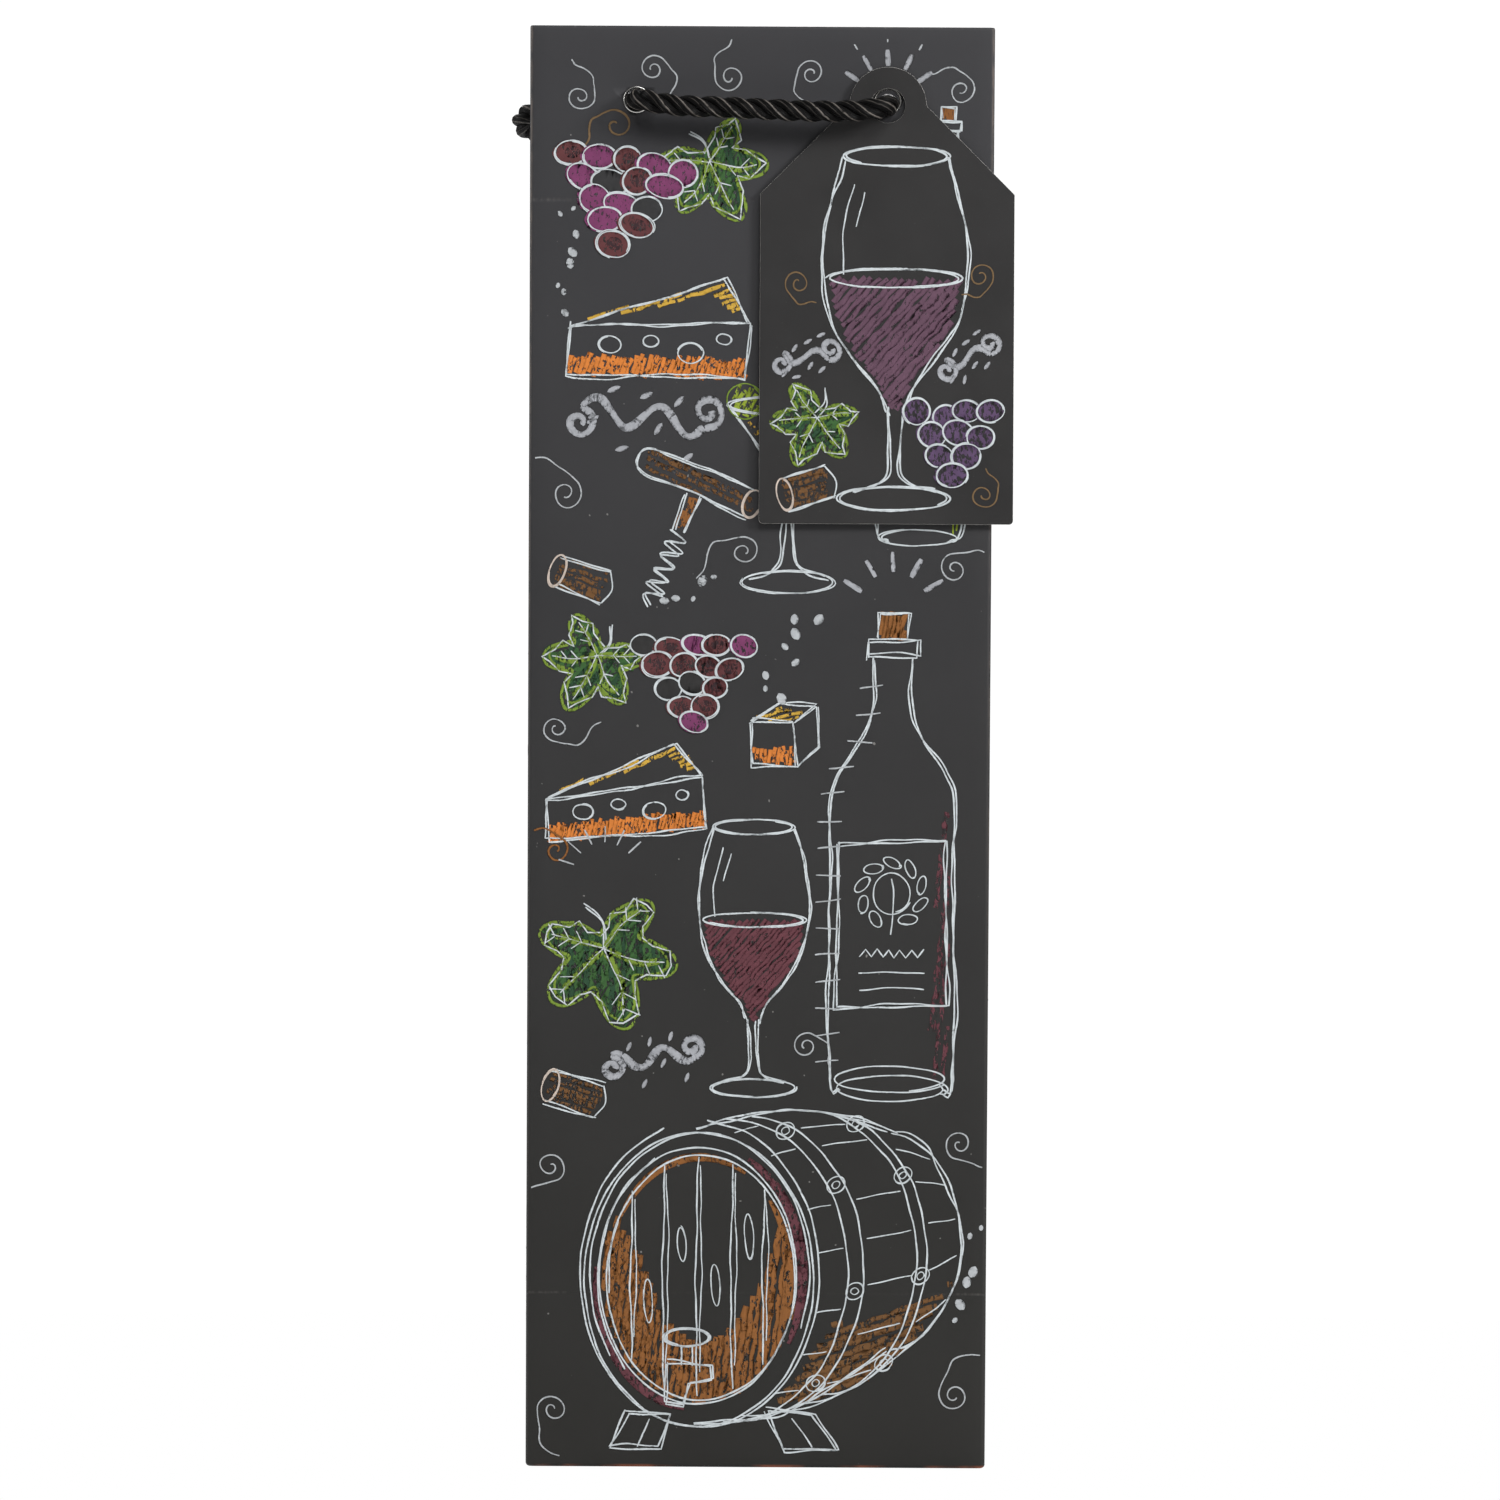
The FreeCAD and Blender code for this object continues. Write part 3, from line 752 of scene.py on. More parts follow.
def carded(name, node, bevel, *materials):
    """A CAD board or card with its loose triangles joined, its flat faces whole and its cut edges eased."""
    mesh = frame["nodes"][node].data.copy()
    mesh.materials.clear()
    shape = bmesh.new()
    shape.from_mesh(mesh)
    bmesh.ops.remove_doubles(shape, verts=shape.verts, dist=0.002 * MM)
    bmesh.ops.dissolve_limit(shape, angle_limit=math.radians(0.5), verts=shape.verts, edges=shape.edges)
    bmesh.ops.recalc_face_normals(shape, faces=shape.faces)
    shape.to_mesh(mesh)
    shape.free()
    for name_left in [a.name for a in mesh.attributes if not a.is_required and not a.is_internal]:
        if name_left.startswith("custom"):
            mesh.attributes.remove(mesh.attributes[name_left])
    mesh.polygons.foreach_set("use_smooth", [False] * len(mesh.polygons))
    card = add_object(name + "_plain", mesh, *materials)
    easing = card.modifiers.new("easing", "BEVEL")
    easing.width, easing.segments, easing.limit_method = bevel, 2, "ANGLE"
    easing.angle_limit = math.radians(50)
    return baked(card, name)


def make_eyelet(name, side, face):
    """A drawn eyelet: a thin tube through paper and board, rolled over into a rounded rim at both ends."""
    bore, wall = 2.75 * MM, 0.2 * MM
    rim = (EYELET_HIGH.x - EYELET_LOW.x) / 2
    front, back = HALF_DEPTH, -HEM_HIGH.y
    crest_out, crest_in = -EYELET_LOW.y, -EYELET_HIGH.y
    profile = [(bore, (front + back) / 2)]
    for base, crest in ((front, crest_out), (back, crest_in)):
        arc = []
        for a in np.radians(np.linspace(180, -20, 14)):
            middle = (bore + rim) / 2
            arc.append((middle + (rim - middle) * math.cos(a), base + (crest - base) * max(0.03, math.sin(a))))
        arc.append((bore + wall, base + (crest - base) * 0.02))
        profile += arc if base == front else arc[::-1]
        if base == front:
            profile.append((bore + wall, (front + back) / 2))
    turns = 72
    points, faces = [], []
    for i in range(turns):
        a = 2 * math.pi * i / turns
        points += [
            (side * EYELET_ACROSS + r * math.cos(a), face * out, EYELET_UP + r * math.sin(a)) for r, out in profile
        ]
    count = len(profile)
    for i in range(turns):
        for j in range(count):
            k, m = (i + 1) % turns, (j + 1) % count
            faces.append((i * count + j, i * count + m, k * count + m, k * count + j))
    mesh = mesh_from(points, faces)
    shape = bmesh.new()
    shape.from_mesh(mesh)
    bmesh.ops.recalc_face_normals(shape, faces=shape.faces)
    shape.to_mesh(mesh)
    shape.free()
    mesh.polygons.foreach_set("use_smooth", [True] * len(mesh.polygons))
    return add_object(name, mesh, METAL)


# ---------------------------------------------------------------- rope


def make_rope_tree():
    """Three-strand rope along a line: each strand winds round it, and knows which way is out for its yarns."""
    tree, build, given = new_tree(
        "laid_rope",
        [
            ("Strand radius", "NodeSocketFloat", STRAND_RADIUS),
            ("Lay radius", "NodeSocketFloat", LAY_RADIUS),
            ("Lay length", "NodeSocketFloat", LAY_LENGTH),
            ("Step", "NodeSocketFloat", ROPE_STEP),
            ("Sides", "NodeSocketInt", 12),
        ],
    )
    line = build.add("GeometryNodeMeshToCurve", None, {0: given["Geometry"]})["Curve"]
    line = build.add("GeometryNodeResampleCurve", {"mode": "LENGTH"}, {"Curve": line, "Length": given["Step"]})["Curve"]
    run = build.add("GeometryNodeSplineParameter")["Length"]
    along = build.add("GeometryNodeInputTangent")["Tangent"]
    normal = build.add("GeometryNodeInputNormal")["Normal"]
    across = vector_math(build, "CROSS_PRODUCT", along, normal)
    joined = build.add("GeometryNodeJoinGeometry")
    for strand in range(STRANDS):
        angle = run / given["Lay length"] * (2 * math.pi) + 2 * math.pi * strand / STRANDS
        first = vector_math(build, "SCALE", normal, scale=angle._math("COSINE", angle))
        second = vector_math(build, "SCALE", across, scale=angle.sine())
        out = vector_math(build, "ADD", first, second)
        side = vector_math(build, "CROSS_PRODUCT", along, out)
        curve = line
        for label, kind, value in (("out", "FLOAT_VECTOR", out), ("side", "FLOAT_VECTOR", side), ("run", "FLOAT", run)):
            curve = build.add(
                "GeometryNodeStoreNamedAttribute",
                {"data_type": kind, "domain": "POINT"},
                {"Geometry": curve, "Name": label, "Value": value},
            )["Geometry"]
        offset = vector_math(build, "SCALE", out, scale=given["Lay radius"])
        curve = build.add("GeometryNodeSetPosition", None, {"Geometry": curve, "Offset": offset})["Geometry"]
        ring = build.add(
            "GeometryNodeCurvePrimitiveCircle", None, {"Resolution": given["Sides"], "Radius": given["Strand radius"]}
        )["Curve"]
        skin = build.add("GeometryNodeCurveToMesh", None, {"Curve": curve, "Profile Curve": ring, "Fill Caps": True})
        build.links.new(skin.node.outputs[0], joined.node.inputs[0])
    facing = build.add("GeometryNodeInputNormal")["Normal"]
    parts = []
    for label in ("out", "side"):
        kept = build.add("GeometryNodeInputNamedAttribute", {"data_type": "FLOAT_VECTOR"}, {"Name": label})["Attribute"]
        parts.append(vector_math(build, "DOT_PRODUCT", facing, kept))
    parts.append(build.add("GeometryNodeInputNamedAttribute", {"data_type": "FLOAT"}, {"Name": "run"})["Attribute"])
    yarn = build.add("ShaderNodeCombineXYZ", None, dict(enumerate(parts)))["Vector"]
    shape = build.add(
        "GeometryNodeStoreNamedAttribute",
        {"data_type": "FLOAT_VECTOR", "domain": "POINT"},
        {"Geometry": joined["Geometry"], "Name": "yarn", "Value": yarn},
    )["Geometry"]
    shape = build.add("GeometryNodeSetShadeSmooth", None, {0: shape})["Geometry"]
    end_tree(build, shape, SATIN)
    return tree


def smooth_line(points):
    """The smooth line that a route's points steer, read from its own NURBS spline."""
    curve = bpy.data.curves.new("route", "CURVE")
    curve.dimensions = "3D"
    spline = curve.splines.new("NURBS")
    spline.points.add(len(points) - 1)
    for made, point in zip(spline.points, points):
        made.co = (*point, 1.0)
    spline.order_u = 3
    spline.use_endpoint_u = True
    spline.resolution_u = 16
    route = bpy.data.objects.new("route", curve)
    bpy.context.scene.collection.objects.link(route)
    settled = bpy.context.evaluated_depsgraph_get()
    mesh = bpy.data.meshes.new_from_object(route.evaluated_get(settled), depsgraph=settled)
    line = [v.co.copy() for v in mesh.vertices]
    bpy.data.objects.remove(route)
    bpy.data.meshes.remove(mesh)
    return line


def rope_on(name, line, **sizes):
    mesh = bpy.data.meshes.new("line")
    mesh.from_pydata([tuple(p) for p in line], [(i, i + 1) for i in range(len(line) - 1)], [])
    piece = run_tree(add_object(name + "_line", mesh), ROPE_TREE, name, **sizes)
    drop_attributes(piece, ("yarn",))
    return piece


LEFT, MIDDLE, RIGHT = -1, 0, 1

# Each handle's route: which eyelet (or the middle), then millimetres right of it, out from the panel and up.
FRONT_ROUTE = [
    (LEFT, -0.4, -7.4, -97.0),
    (LEFT, -0.4, -7.4, -75.0),
    (LEFT, -1.6, -6.6, -48.0),
    (LEFT, -0.6, -8.0, -20.0),
    (LEFT, 0.0, -7.7, 0.0),
    (LEFT, 0.0, 6.3, 0.0),
    (LEFT, 9.0, 6.7, -1.9),
    (LEFT, 22.0, 6.6, -2.1),
    (MIDDLE, 8.0, 6.5, -2.9),
    (RIGHT, -10.0, 6.8, -3.1),
    (RIGHT, 0.3, 6.3, -1.8),
    (RIGHT, 0.0, -7.7, 0.0),
    (RIGHT, 0.8, -8.0, -21.0),
    (RIGHT, 1.8, -6.6, -50.0),
    (RIGHT, 0.7, -7.4, -77.0),
    (RIGHT, 0.7, -7.4, -99.0),
]
BACK_ROUTE = [
    (LEFT, 0.5, -7.4, -62.0),
    (LEFT, 0.5, -7.4, -42.0),
    (LEFT, -0.8, -8.1, -20.0),
    (LEFT, 0.0, -7.7, 0.0),
    (LEFT, 0.0, 6.3, 0.0),
    (LEFT, -13.5, 7.4, 2.0),
    (LEFT, -30.3, 8.0, 2.6),
    (LEFT, -30.3, 17.6, -2.6),
    (LEFT, -13.5, 18.2, -4.4),
    (LEFT, 5.0, 16.8, -6.2),
    (MIDDLE, -6.0, 14.6, -6.6),
    (RIGHT, -17.0, 10.6, -4.6),
    (RIGHT, 0.0, 6.3, 0.0),
    (RIGHT, 0.0, -7.7, 0.0),
    (RIGHT, -0.7, -8.0, -20.0),
    (RIGHT, -1.3, -7.4, -41.0),
    (RIGHT, -1.3, -7.4, -60.0),
]
# An overhand knot drawn up tight, and the rope's end below it: millimetres from the knot's middle.
KNOT_ROUTE = [
    (0.0, 0.0, 8.5),
    (0.2, 0.2, 4.5),
    (1.8, 1.6, -1.0),
    (3.6, -0.4, -4.2),
    (1.6, -4.0, -3.2),
    (-3.2, -3.4, -1.0),
    (-4.2, 2.0, 0.8),
    (0.4, 4.4, 2.6),
    (4.2, 1.4, 3.0),
    (3.0, -3.2, 1.4),
    (-0.6, -1.6, -3.4),
    (-0.2, -0.2, -8.0),
    (0.0, 0.0, -14.2),
]


def route_points(route, face):
    points = []
    for anchor, across, out, up in route:
        points.append(
            Vector((anchor * EYELET_ACROSS + across * MM, face * (HALF_DEPTH + out * MM), EYELET_UP + up * MM))
        )
    return points


def make_knot(name, top):
    middle = Vector(top) - Vector((0, 0, 6.5 * MM))
    line = smooth_line([middle + Vector(p) * MM for p in KNOT_ROUTE])
    sizes = {"Strand radius": KNOT_STRAND, "Lay radius": KNOT_LAY, "Lay length": KNOT_LAY_LENGTH}
    sizes |= {"Step": KNOT_STEP, "Sides": 10}
    return rope_on(name, line, **sizes)


def make_handle(name, route, face, knots):
    """One rope handle from knot to knot, with the knots that stop it inside the bag."""
    line = smooth_line(route_points(route, face))
    rope = rope_on(name, line)
    for knot, top in zip(knots, (line[0], line[-1])):
        piece = make_knot(knot + "_rope", top)
        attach(piece, "bag")
        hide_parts(knot)
    return rope


# ---------------------------------------------------------------- chalk drawing

BLACK_INK = tone(41, 40, 40)
# the black print as the paper shows it near the top, lighter there by the paper's painted light
BLACK_UNDER_PAINTED_TOP_LIGHT = tone(46, 46, 47)
TAG_BLACK = tone(38, 37, 37)
DARK_MIDDLE = tone(52, 34, 38)
CHALK_WHITE = tone(205, 212, 215)
CHALK_SOFT = tone(176, 180, 183)
MARKER = tone(160, 162, 167)
MAGENTA = tone(117, 53, 95)
MAROON = tone(92, 48, 50)
ORANGE = tone(208, 122, 50)
YELLOW = tone(198, 158, 60)
BROWN = tone(136, 86, 40)
UMBER = tone(108, 74, 40)
GREEN = tone(54, 92, 46)
DARK_GREEN = tone(36, 68, 44)
LIME = tone(140, 158, 46)
LEAF_EDGE = tone(117, 142, 50)
WINE = tone(96, 52, 60)
MAUVE = tone(95, 67, 84)
PLUM = tone(86, 65, 96)
TAN = tone(120, 96, 66)
CORK_END = tone(205, 190, 178)

LINE_LIFT = 0.055 * MM
RUB_LIFT = 0.025 * MM
STACK_STEP = 0.00006 * MM
STROKE_STEP = 0.75
PRESS = 0.38
LAYER = 0.002 * MM
STROKE_RELIEF = 0.0004 * MM


def flowing(points, closed=False):
    """Evenly spaced points on a smooth line through the given ones."""
    p = np.array(points, float)
    if len(p) < 3:
        long = np.linalg.norm(p[1] - p[0])
        t = np.linspace(0, 1, max(2, int(long / STROKE_STEP) + 1))[:, None]
        return p[0] * (1 - t) + p[1] * t
    if closed:
        p = np.vstack([p[-1], p, p[0], p[1]])
    else:
        p = np.vstack([2 * p[0] - p[1], p, 2 * p[-1] - p[-2]])
    out = []
    for a, b, c, d in zip(p, p[1:], p[2:], p[3:]):
        steps = max(2, int(np.linalg.norm(c - b) / STROKE_STEP) + 1)
        t = np.linspace(0, 1, steps, endpoint=False)[:, None]
        out.append(
            0.5 * (2 * b + (c - a) * t + (2 * a - 5 * b + 4 * c - d) * t**2 + (3 * b - a - 3 * c + d) * t**3)
        )
    out.append(p[-2][None, :])
    return np.vstack(out)


class Pen:
    """Draws on a flat face, in millimetres right of its middle and up from its foot; keeps each stroke's points."""

    def __init__(self, seed, area, strokes=None, hand=None, shift=(0.0, 0.0), frame=None, size=1.0):
        self.area = area
        self.strokes = [] if strokes is None else strokes
        self.hand = hand or np.random.default_rng(seed)
        self.shift, self.size, self.raised = np.array(shift, float), size, 0.0
        self.frame = np.eye(2) if frame is None else frame

    def moved(self, across, up, size=1.0, turn=0.0, flip=1):
        """The same pen for a thing drawn about its own middle: put there, resized, turned, or flipped with -1."""
        c, s = math.cos(math.radians(turn)), math.sin(math.radians(turn))
        frame = self.frame @ np.array([[c * flip, -s], [s * flip, c]]) * size
        shift = self.shift + self.frame @ np.array([across, up])
        return Pen(0, self.area, self.strokes, self.hand, shift, frame, self.size * size)

    def lay(self, points, halves, ink, grain, lift):
        """Keeps the parts of a stroke that are inside the printed area."""
        path = np.asarray(points) @ self.frame.T + self.shift
        halves = np.broadcast_to(halves, len(path))
        low, high = self.area
        inside = np.all((path > low) & (path < high), axis=1)
        for run in np.split(np.arange(len(path)), np.flatnonzero(np.diff(inside)) + 1):
            if inside[run[0]] and len(run) > 1:
                self.strokes.append((path[run], halves[run], ink, grain, lift))

    def line(
        self, points, width=1.1, ink=CHALK_WHITE, passes=1, closed=False, grain=0.16, straight=False, wobble=0.22
    ):
        """A drawn line that swells and thins a little; more passes go over it again, never quite the same."""
        press = 1.0 if ink is MARKER else PRESS
        for again in range(passes):
            if straight:
                runs = [flowing(pair) for pair in zip(points, points[1:])]
                path = np.vstack([run[:-1] for run in runs] + [runs[-1][-1:]])
            else:
                path = flowing(points, closed)
            count = len(path)
            t = np.arange(count) * STROKE_STEP
            shake = np.zeros_like(path)
            for wave in (9.0, 23.0):
                phase = self.hand.uniform(0, 6.28, 2)
                shake += np.sin(t[:, None] * 6.28 / wave + phase) * wobble * (0.5 + 0.35 * again) * (wave / 16)
            if again:
                lean, roll = self.hand.uniform(0.45, 1.0, 2), self.hand.uniform(0, 6.28, 2)
                shake += lean * np.sin(t[:, None] * 6.28 / self.hand.uniform(38, 70) + roll)
            swell = 1 + 0.16 * np.sin(t * 6.28 / 14 + self.hand.uniform(0, 6.28))
            if not closed:
                ends = np.minimum(1, (np.minimum(t, t[::-1]) + 0.5) / 1.2)
                swell = swell * (0.55 + 0.45 * ends)
            halves = width * press / 2 * swell * (0.9 if again else 1)
            self.lay(path + shake, halves, ink, grain, LINE_LIFT + self.raised)

    def ring(self, across, up, wide, high, turn=0.0, width=1.1, ink=CHALK_WHITE, laps=1.12, passes=1, start=None):
        """A loop drawn in one go that overshoots where it began."""
        for _ in range(passes):
            begin = self.hand.uniform(0, 6.28) if start is None else start
            a = begin + np.linspace(0, 6.283 * laps, 14 + int(8 * laps))
            drift = 1 + np.linspace(-0.05, 0.06, len(a)) * self.hand.choice((-1, 1))
            x, y = wide * drift * np.cos(a), high * drift * np.sin(a)
            c, s = math.cos(math.radians(turn)), math.sin(math.radians(turn))
            points = np.column_stack([across + c * x - s * y, up + s * x + c * y])
            self.line(points, width, ink, wobble=0.12)

    def spot(self, across, up, wide, high=None, ink=CHALK_SOFT, grain=0.1, turn=0.0, lift=LINE_LIFT):
        """A filled dab."""
        high = wide if high is None else high
        t = np.linspace(-1, 1, max(7, int(wide * 3)))
        c, s = math.cos(math.radians(turn)), math.sin(math.radians(turn))
        points = np.column_stack([across + c * t * wide, up + s * t * wide])
        halves = np.maximum(0.12 * high, high * np.sqrt(1 - 0.985 * t * t)) * self.size
        self.lay(points, halves, ink, grain, lift + self.raised)

    def rub(self, outline, ink, gap=1.5, slant=60.0, width=1.9, grain=0.75):
        """Colour rubbed on inside an outline with the side of the chalk, back and forth."""
        shape = np.array(outline, float)
        c, s = math.cos(math.radians(slant)), math.sin(math.radians(slant))
        turned = shape @ np.array([[c, -s], [s, c]])
        low, high = turned[:, 1].min(), turned[:, 1].max()
        following = np.roll(turned, -1, axis=0)
        for level in np.arange(low + gap / 2, high, gap):
            level += self.hand.uniform(-0.15, 0.15) * gap
            crossing = (turned[:, 1] > level) != (following[:, 1] > level)
            a, b = turned[crossing], following[crossing]
            places = np.sort(a[:, 0] + (level - a[:, 1]) / (b[:, 1] - a[:, 1]) * (b[:, 0] - a[:, 0]))
            for start, end in zip(places[::2], places[1::2]):
                start, end = start + self.hand.uniform(-0.5, 0.9), end + self.hand.uniform(-0.9, 0.5)
                if end - start > 0.6:
                    steps = max(3, int((end - start) / 2.2))
                    t = np.linspace(start, end, steps)
                    wave = level + 0.25 * np.sin(t * 0.9 + self.hand.uniform(0, 6))
                    points = np.column_stack([t, wave]) @ np.array([[c, s], [-s, c]])
                    weight = self.hand.uniform(0.6, 1.05) + 0.12 * np.sin(t * 0.5 + self.hand.uniform(0, 6))
                    self.lay(points, width / 2 * weight * self.size, ink, grain, RUB_LIFT)

    def arc_rub(self, across, up, wide, high, start, end, width, ink, grain=0.7, turn=0.0):
        """A broad soft stroke along part of an oval."""
        a = np.radians(np.linspace(start, end, max(6, int(abs(end - start) / 6))))
        c, s = math.cos(math.radians(turn)), math.sin(math.radians(turn))
        x, y = wide * np.cos(a), high * np.sin(a)
        points = np.column_stack([across + c * x - s * y, up + s * x + c * y])
        swell = np.sin(np.linspace(0.12, math.pi - 0.12, len(a))) ** 0.5
        self.lay(points, width / 2 * swell, ink, grain, RUB_LIFT)


FRONT_AREA = ((-55.8, 2.5), (55.8, 353.0))
SIDE_AREA = ((-43.0, 2.5), (43.0, 353.0))
TAG_FOOT = (TAG_LOW.z - TAG_HOLE_UP) / MM
TAG_AREA = ((-30.6, TAG_FOOT + 0.8), (30.6, 8.0))
GRAPE_INKS = {"m": MAROON, "p": MAGENTA, "t": PLUM, "-": None}


def mirrored(side):
    """Both sides of something round, from the right one."""
    return side, [(-x, y) for x, y in side]


def draw_grapes(pen, top_row, kinds="mmpp-", bare=BLACK_INK, width=0.88):
    """A hanging bunch, each row a grape shorter: every grape covers what it overlaps, is rubbed, then ringed."""
    for row in range(top_row):
        count = top_row - row
        for place in range(count):
            across = (place - (count - 1) / 2) * 6.9 + pen.hand.uniform(-1.0, 1.0)
            up = -5.3 * row + pen.hand.uniform(-1.1, 1.1)
            wide, high = pen.hand.uniform(3.4, 4.6), pen.hand.uniform(2.9, 3.6)
            kind, turn = kinds[pen.hand.integers(len(kinds))], pen.hand.uniform(-20, 20)
            ink = GRAPE_INKS[kind]
            # each grape is first blanked with the paper's black as it shows there, lighter near the top by the paper's
            # painted light
            pen.spot(across, up, wide, high, bare, 0.0, turn)
            pen.raised += LAYER
            if ink is not None:
                pen.spot(across - 0.4, up - 0.1, wide * 1.08, high * 1.05, ink, 0.78 if kind == "t" else 0.68, turn)
                pen.raised += LAYER
                if kind == "m":
                    pen.spot(across + 0.3, up + 0.1, wide * 0.5, high * 0.5, DARK_MIDDLE, 0.82, turn)
                    pen.raised += LAYER
            pen.ring(across, up, wide, high, turn, width, laps=1.8)
            pen.raised += LAYER
    pen.raised = 0.0


def ragged(pen, points, bite=1.7):
    """A leaf's edge: the outline's points with small teeth between them."""
    out = []
    for (x0, y0), (x1, y1) in zip(points, points[1:]):
        long = math.hypot(x1 - x0, y1 - y0)
        teeth = max(1, int(long / 2.6))
        for i in range(teeth):
            t = i / teeth
            push = bite * (0.5 if len(out) % 2 else -0.35) * pen.hand.uniform(0.6, 1.3)
            dx, dy = x1 - x0, y1 - y0
            out.append((x0 + dx * t - dy / long * push, y0 + dy * t + dx / long * push))
    out.append(points[-1])
    return out


def draw_leaf(pen, reach, twigs=2, width=1.0):
    """A vine leaf with five lobes, pointing down: greens rubbed in, lime under the edge, a toothed outline, veins."""

    def edge_at(degrees):
        lobe = ((1 + math.cos(math.radians(6 * degrees))) / 2) ** 0.8
        far = reach * (0.58 + 0.42 * lobe) * (1 - 0.28 * abs(degrees) / 150)
        return (far * math.sin(math.radians(degrees)), -far * math.cos(math.radians(degrees)))

    outline = [edge_at(degrees) for degrees in range(-150, 151, 10)]
    outline = [(0.0, reach * 0.16)] + outline + [(0.0, reach * 0.16)]
    pen.rub(outline, GREEN, 1.5, 40, 2.0, 0.72)
    pen.rub(outline, DARK_GREEN, 3.4, 75, 1.7, 0.75)
    for share in (0.92, 1.04):
        pen.line(np.array(outline) * share, 1.9, LEAF_EDGE, grain=0.72)
    pen.line(ragged(pen, outline), width, straight=True)
    pen.line([(0, 0), (reach * 0.06, reach * 0.3), (-reach * 0.08, reach * 0.55)], width, passes=2)
    for lobe in range(-120, 121, 60):
        way = np.array(edge_at(lobe))
        aside = np.array([-way[1], way[0]]) * pen.hand.uniform(-0.09, 0.09)
        pen.line([way * 0.04, way * 0.5 + aside * 1.6, way * 0.8], 4.2, LEAF_EDGE, grain=0.76)
        pen.line([(0, 0), way * 0.5 + aside, way * 0.86], width * 0.85)
        for twig in range(twigs):
            root = way * (0.36 + 0.22 * twig) + aside * 0.8
            for lean in (-1, 1):
                out = np.array([way[0] * 0.55 - lean * way[1] * 0.62, way[1] * 0.55 + lean * way[0] * 0.62])
                if pen.hand.uniform() < 0.7:
                    pen.line([root, root + out * 0.24], 0.75, grain=0.25)


def draw_cork(pen, end, reach, ink=BROWN, width=1.05):
    """A cork lying down: its near end is a ring and its side is rubbed with colour."""
    (x, y), (dx, dy) = end, reach
    long = math.hypot(dx, dy)
    nx, ny = -dy / long * 4.0, dx / long * 4.0
    turn = math.degrees(math.atan2(dy, dx))
    sides = [(x + nx, y + ny), (x + dx + nx, y + dy + ny), (x + dx - nx, y + dy - ny), (x - nx, y - ny)]
    pen.rub(sides, ink, 1.6, turn, 1.5, 0.82)
    pen.line(sides[:2], width, passes=2)
    pen.line([sides[1], (x + dx * 1.14, y + dy * 1.14), sides[2]], width)
    pen.line(sides[2:], width, passes=2)
    pen.ring(x, y, 1.9, 4.0, turn, width, CORK_END, laps=1.6)


def draw_glass(pen, wine=WINE, stem=28.0, level=-31.0, width=1.1):
    """A wine glass, down from its rim."""
    bowl = [(13.4, 0), (16.8, -13), (18.4, -27), (16.4, -41), (10.4, -52), (4.4, -59), (2.0, -65)]
    foot = -65 - stem
    wide = float(np.interp(-level, [-y for _, y in bowl], [x for x, _ in bowl])) - 1.0
    right, left = mirrored([(wide, level)] + [(x - 1.2, y) for x, y in bowl if y < level])
    pen.rub(right + left[::-1], wine, 1.5, 48, 1.9, 0.6)
    for side in mirrored(bowl):
        pen.line(side, width, passes=2)
    for side in mirrored([(1.9, -64), (1.6, foot + 9), (3.6, foot + 4), (10.5, foot + 1.5)]):
        pen.line(side, width, passes=2)
    pen.ring(0, 0, 13.4, 2.5, 0, width, laps=1.9)
    pen.ring(0, level, wide, 2.4, 0, width, laps=1.7)
    pen.ring(0, foot, 14.0, 3.0, 0, width, laps=1.9)
    pen.line([(-10.4, -7), (-13.4, -19), (-13.0, -30)], 0.9)
    pen.line([(-7.8, -9), (-10.2, -18)], 0.8)


def draw_cocktail(pen):
    """A cocktail glass and a slice on its rim, down from the rim."""
    pen.rub([(-11, -4), (11, -4), (1, -17), (-1, -17)], YELLOW, 1.6, 40, 1.2, 0.8)
    pen.rub([(-15, 5), (-8, 4), (-7, -3), (-13, -3)], LIME, 1.5, 60, 1.5, 0.74)
    for side in mirrored([(15, 0), (8, -10), (1.4, -19), (1.1, -36), (4, -41), (10, -43)]):
        pen.line(side, 1.1, passes=2)
    pen.ring(0, 0, 15, 2.4, 0, 1.1, laps=1.7)
    pen.ring(0, -43.5, 11.5, 2.8, 0, 1.0, laps=1.9)
    pen.ring(-11, 1.0, 4.4, 4.4, 0, 0.9, LEAF_EDGE, laps=1.3)


def draw_tumbler(pen):
    """A tumbler with ice, down from its rim."""
    for side in mirrored([(13, 0), (12.6, -18), (11.4, -35), (8, -37)]):
        pen.line(side, 1.1, passes=2)
    pen.ring(0, 0, 13, 2.6, 0, 1.1, laps=1.7)
    pen.ring(0, -36, 10.6, 2.2, 0, 1.0, laps=1.3)
    pen.ring(0, -12, 12.2, 2.0, 0, 0.9)
    pen.line([(10.4, -34), (11.4, -20), (11.2, -13)], 1.2, LIME, grain=0.5, passes=2)
    for across, up, half in ((-4.6, -18, 3.8), (3.8, -21, 4.0), (-1.6, -28, 3.4)):
        cube = [(across + half * x, up + half * y) for x, y in ((-1, -1), (1, -1), (1, 1), (-1, 1))]
        pen.rub(cube, LIME, 1.6, 50, 1.0, 0.84)
        pen.line(cube + cube[:1], 0.9, straight=True)


def draw_sprig(pen, across, up):
    """The label's plain emblem: a round wreath of small leaves over a short stalk."""
    for i in range(9):
        a = math.radians(-58 + i * 37)
        x, y = across + 7.6 * math.cos(a), up + 0.8 + 7.6 * math.sin(a)
        pen.ring(x, y, 2.3, 1.15, math.degrees(a) + 62, 0.8, laps=1.1)
    pen.ring(across, up + 0.8, 4.6, 5.0, 0, 0.85, laps=1.15)
    pen.line([(across, up + 4.6), (across + 0.3, up), (across - 0.2, up - 9.6)], 0.9)


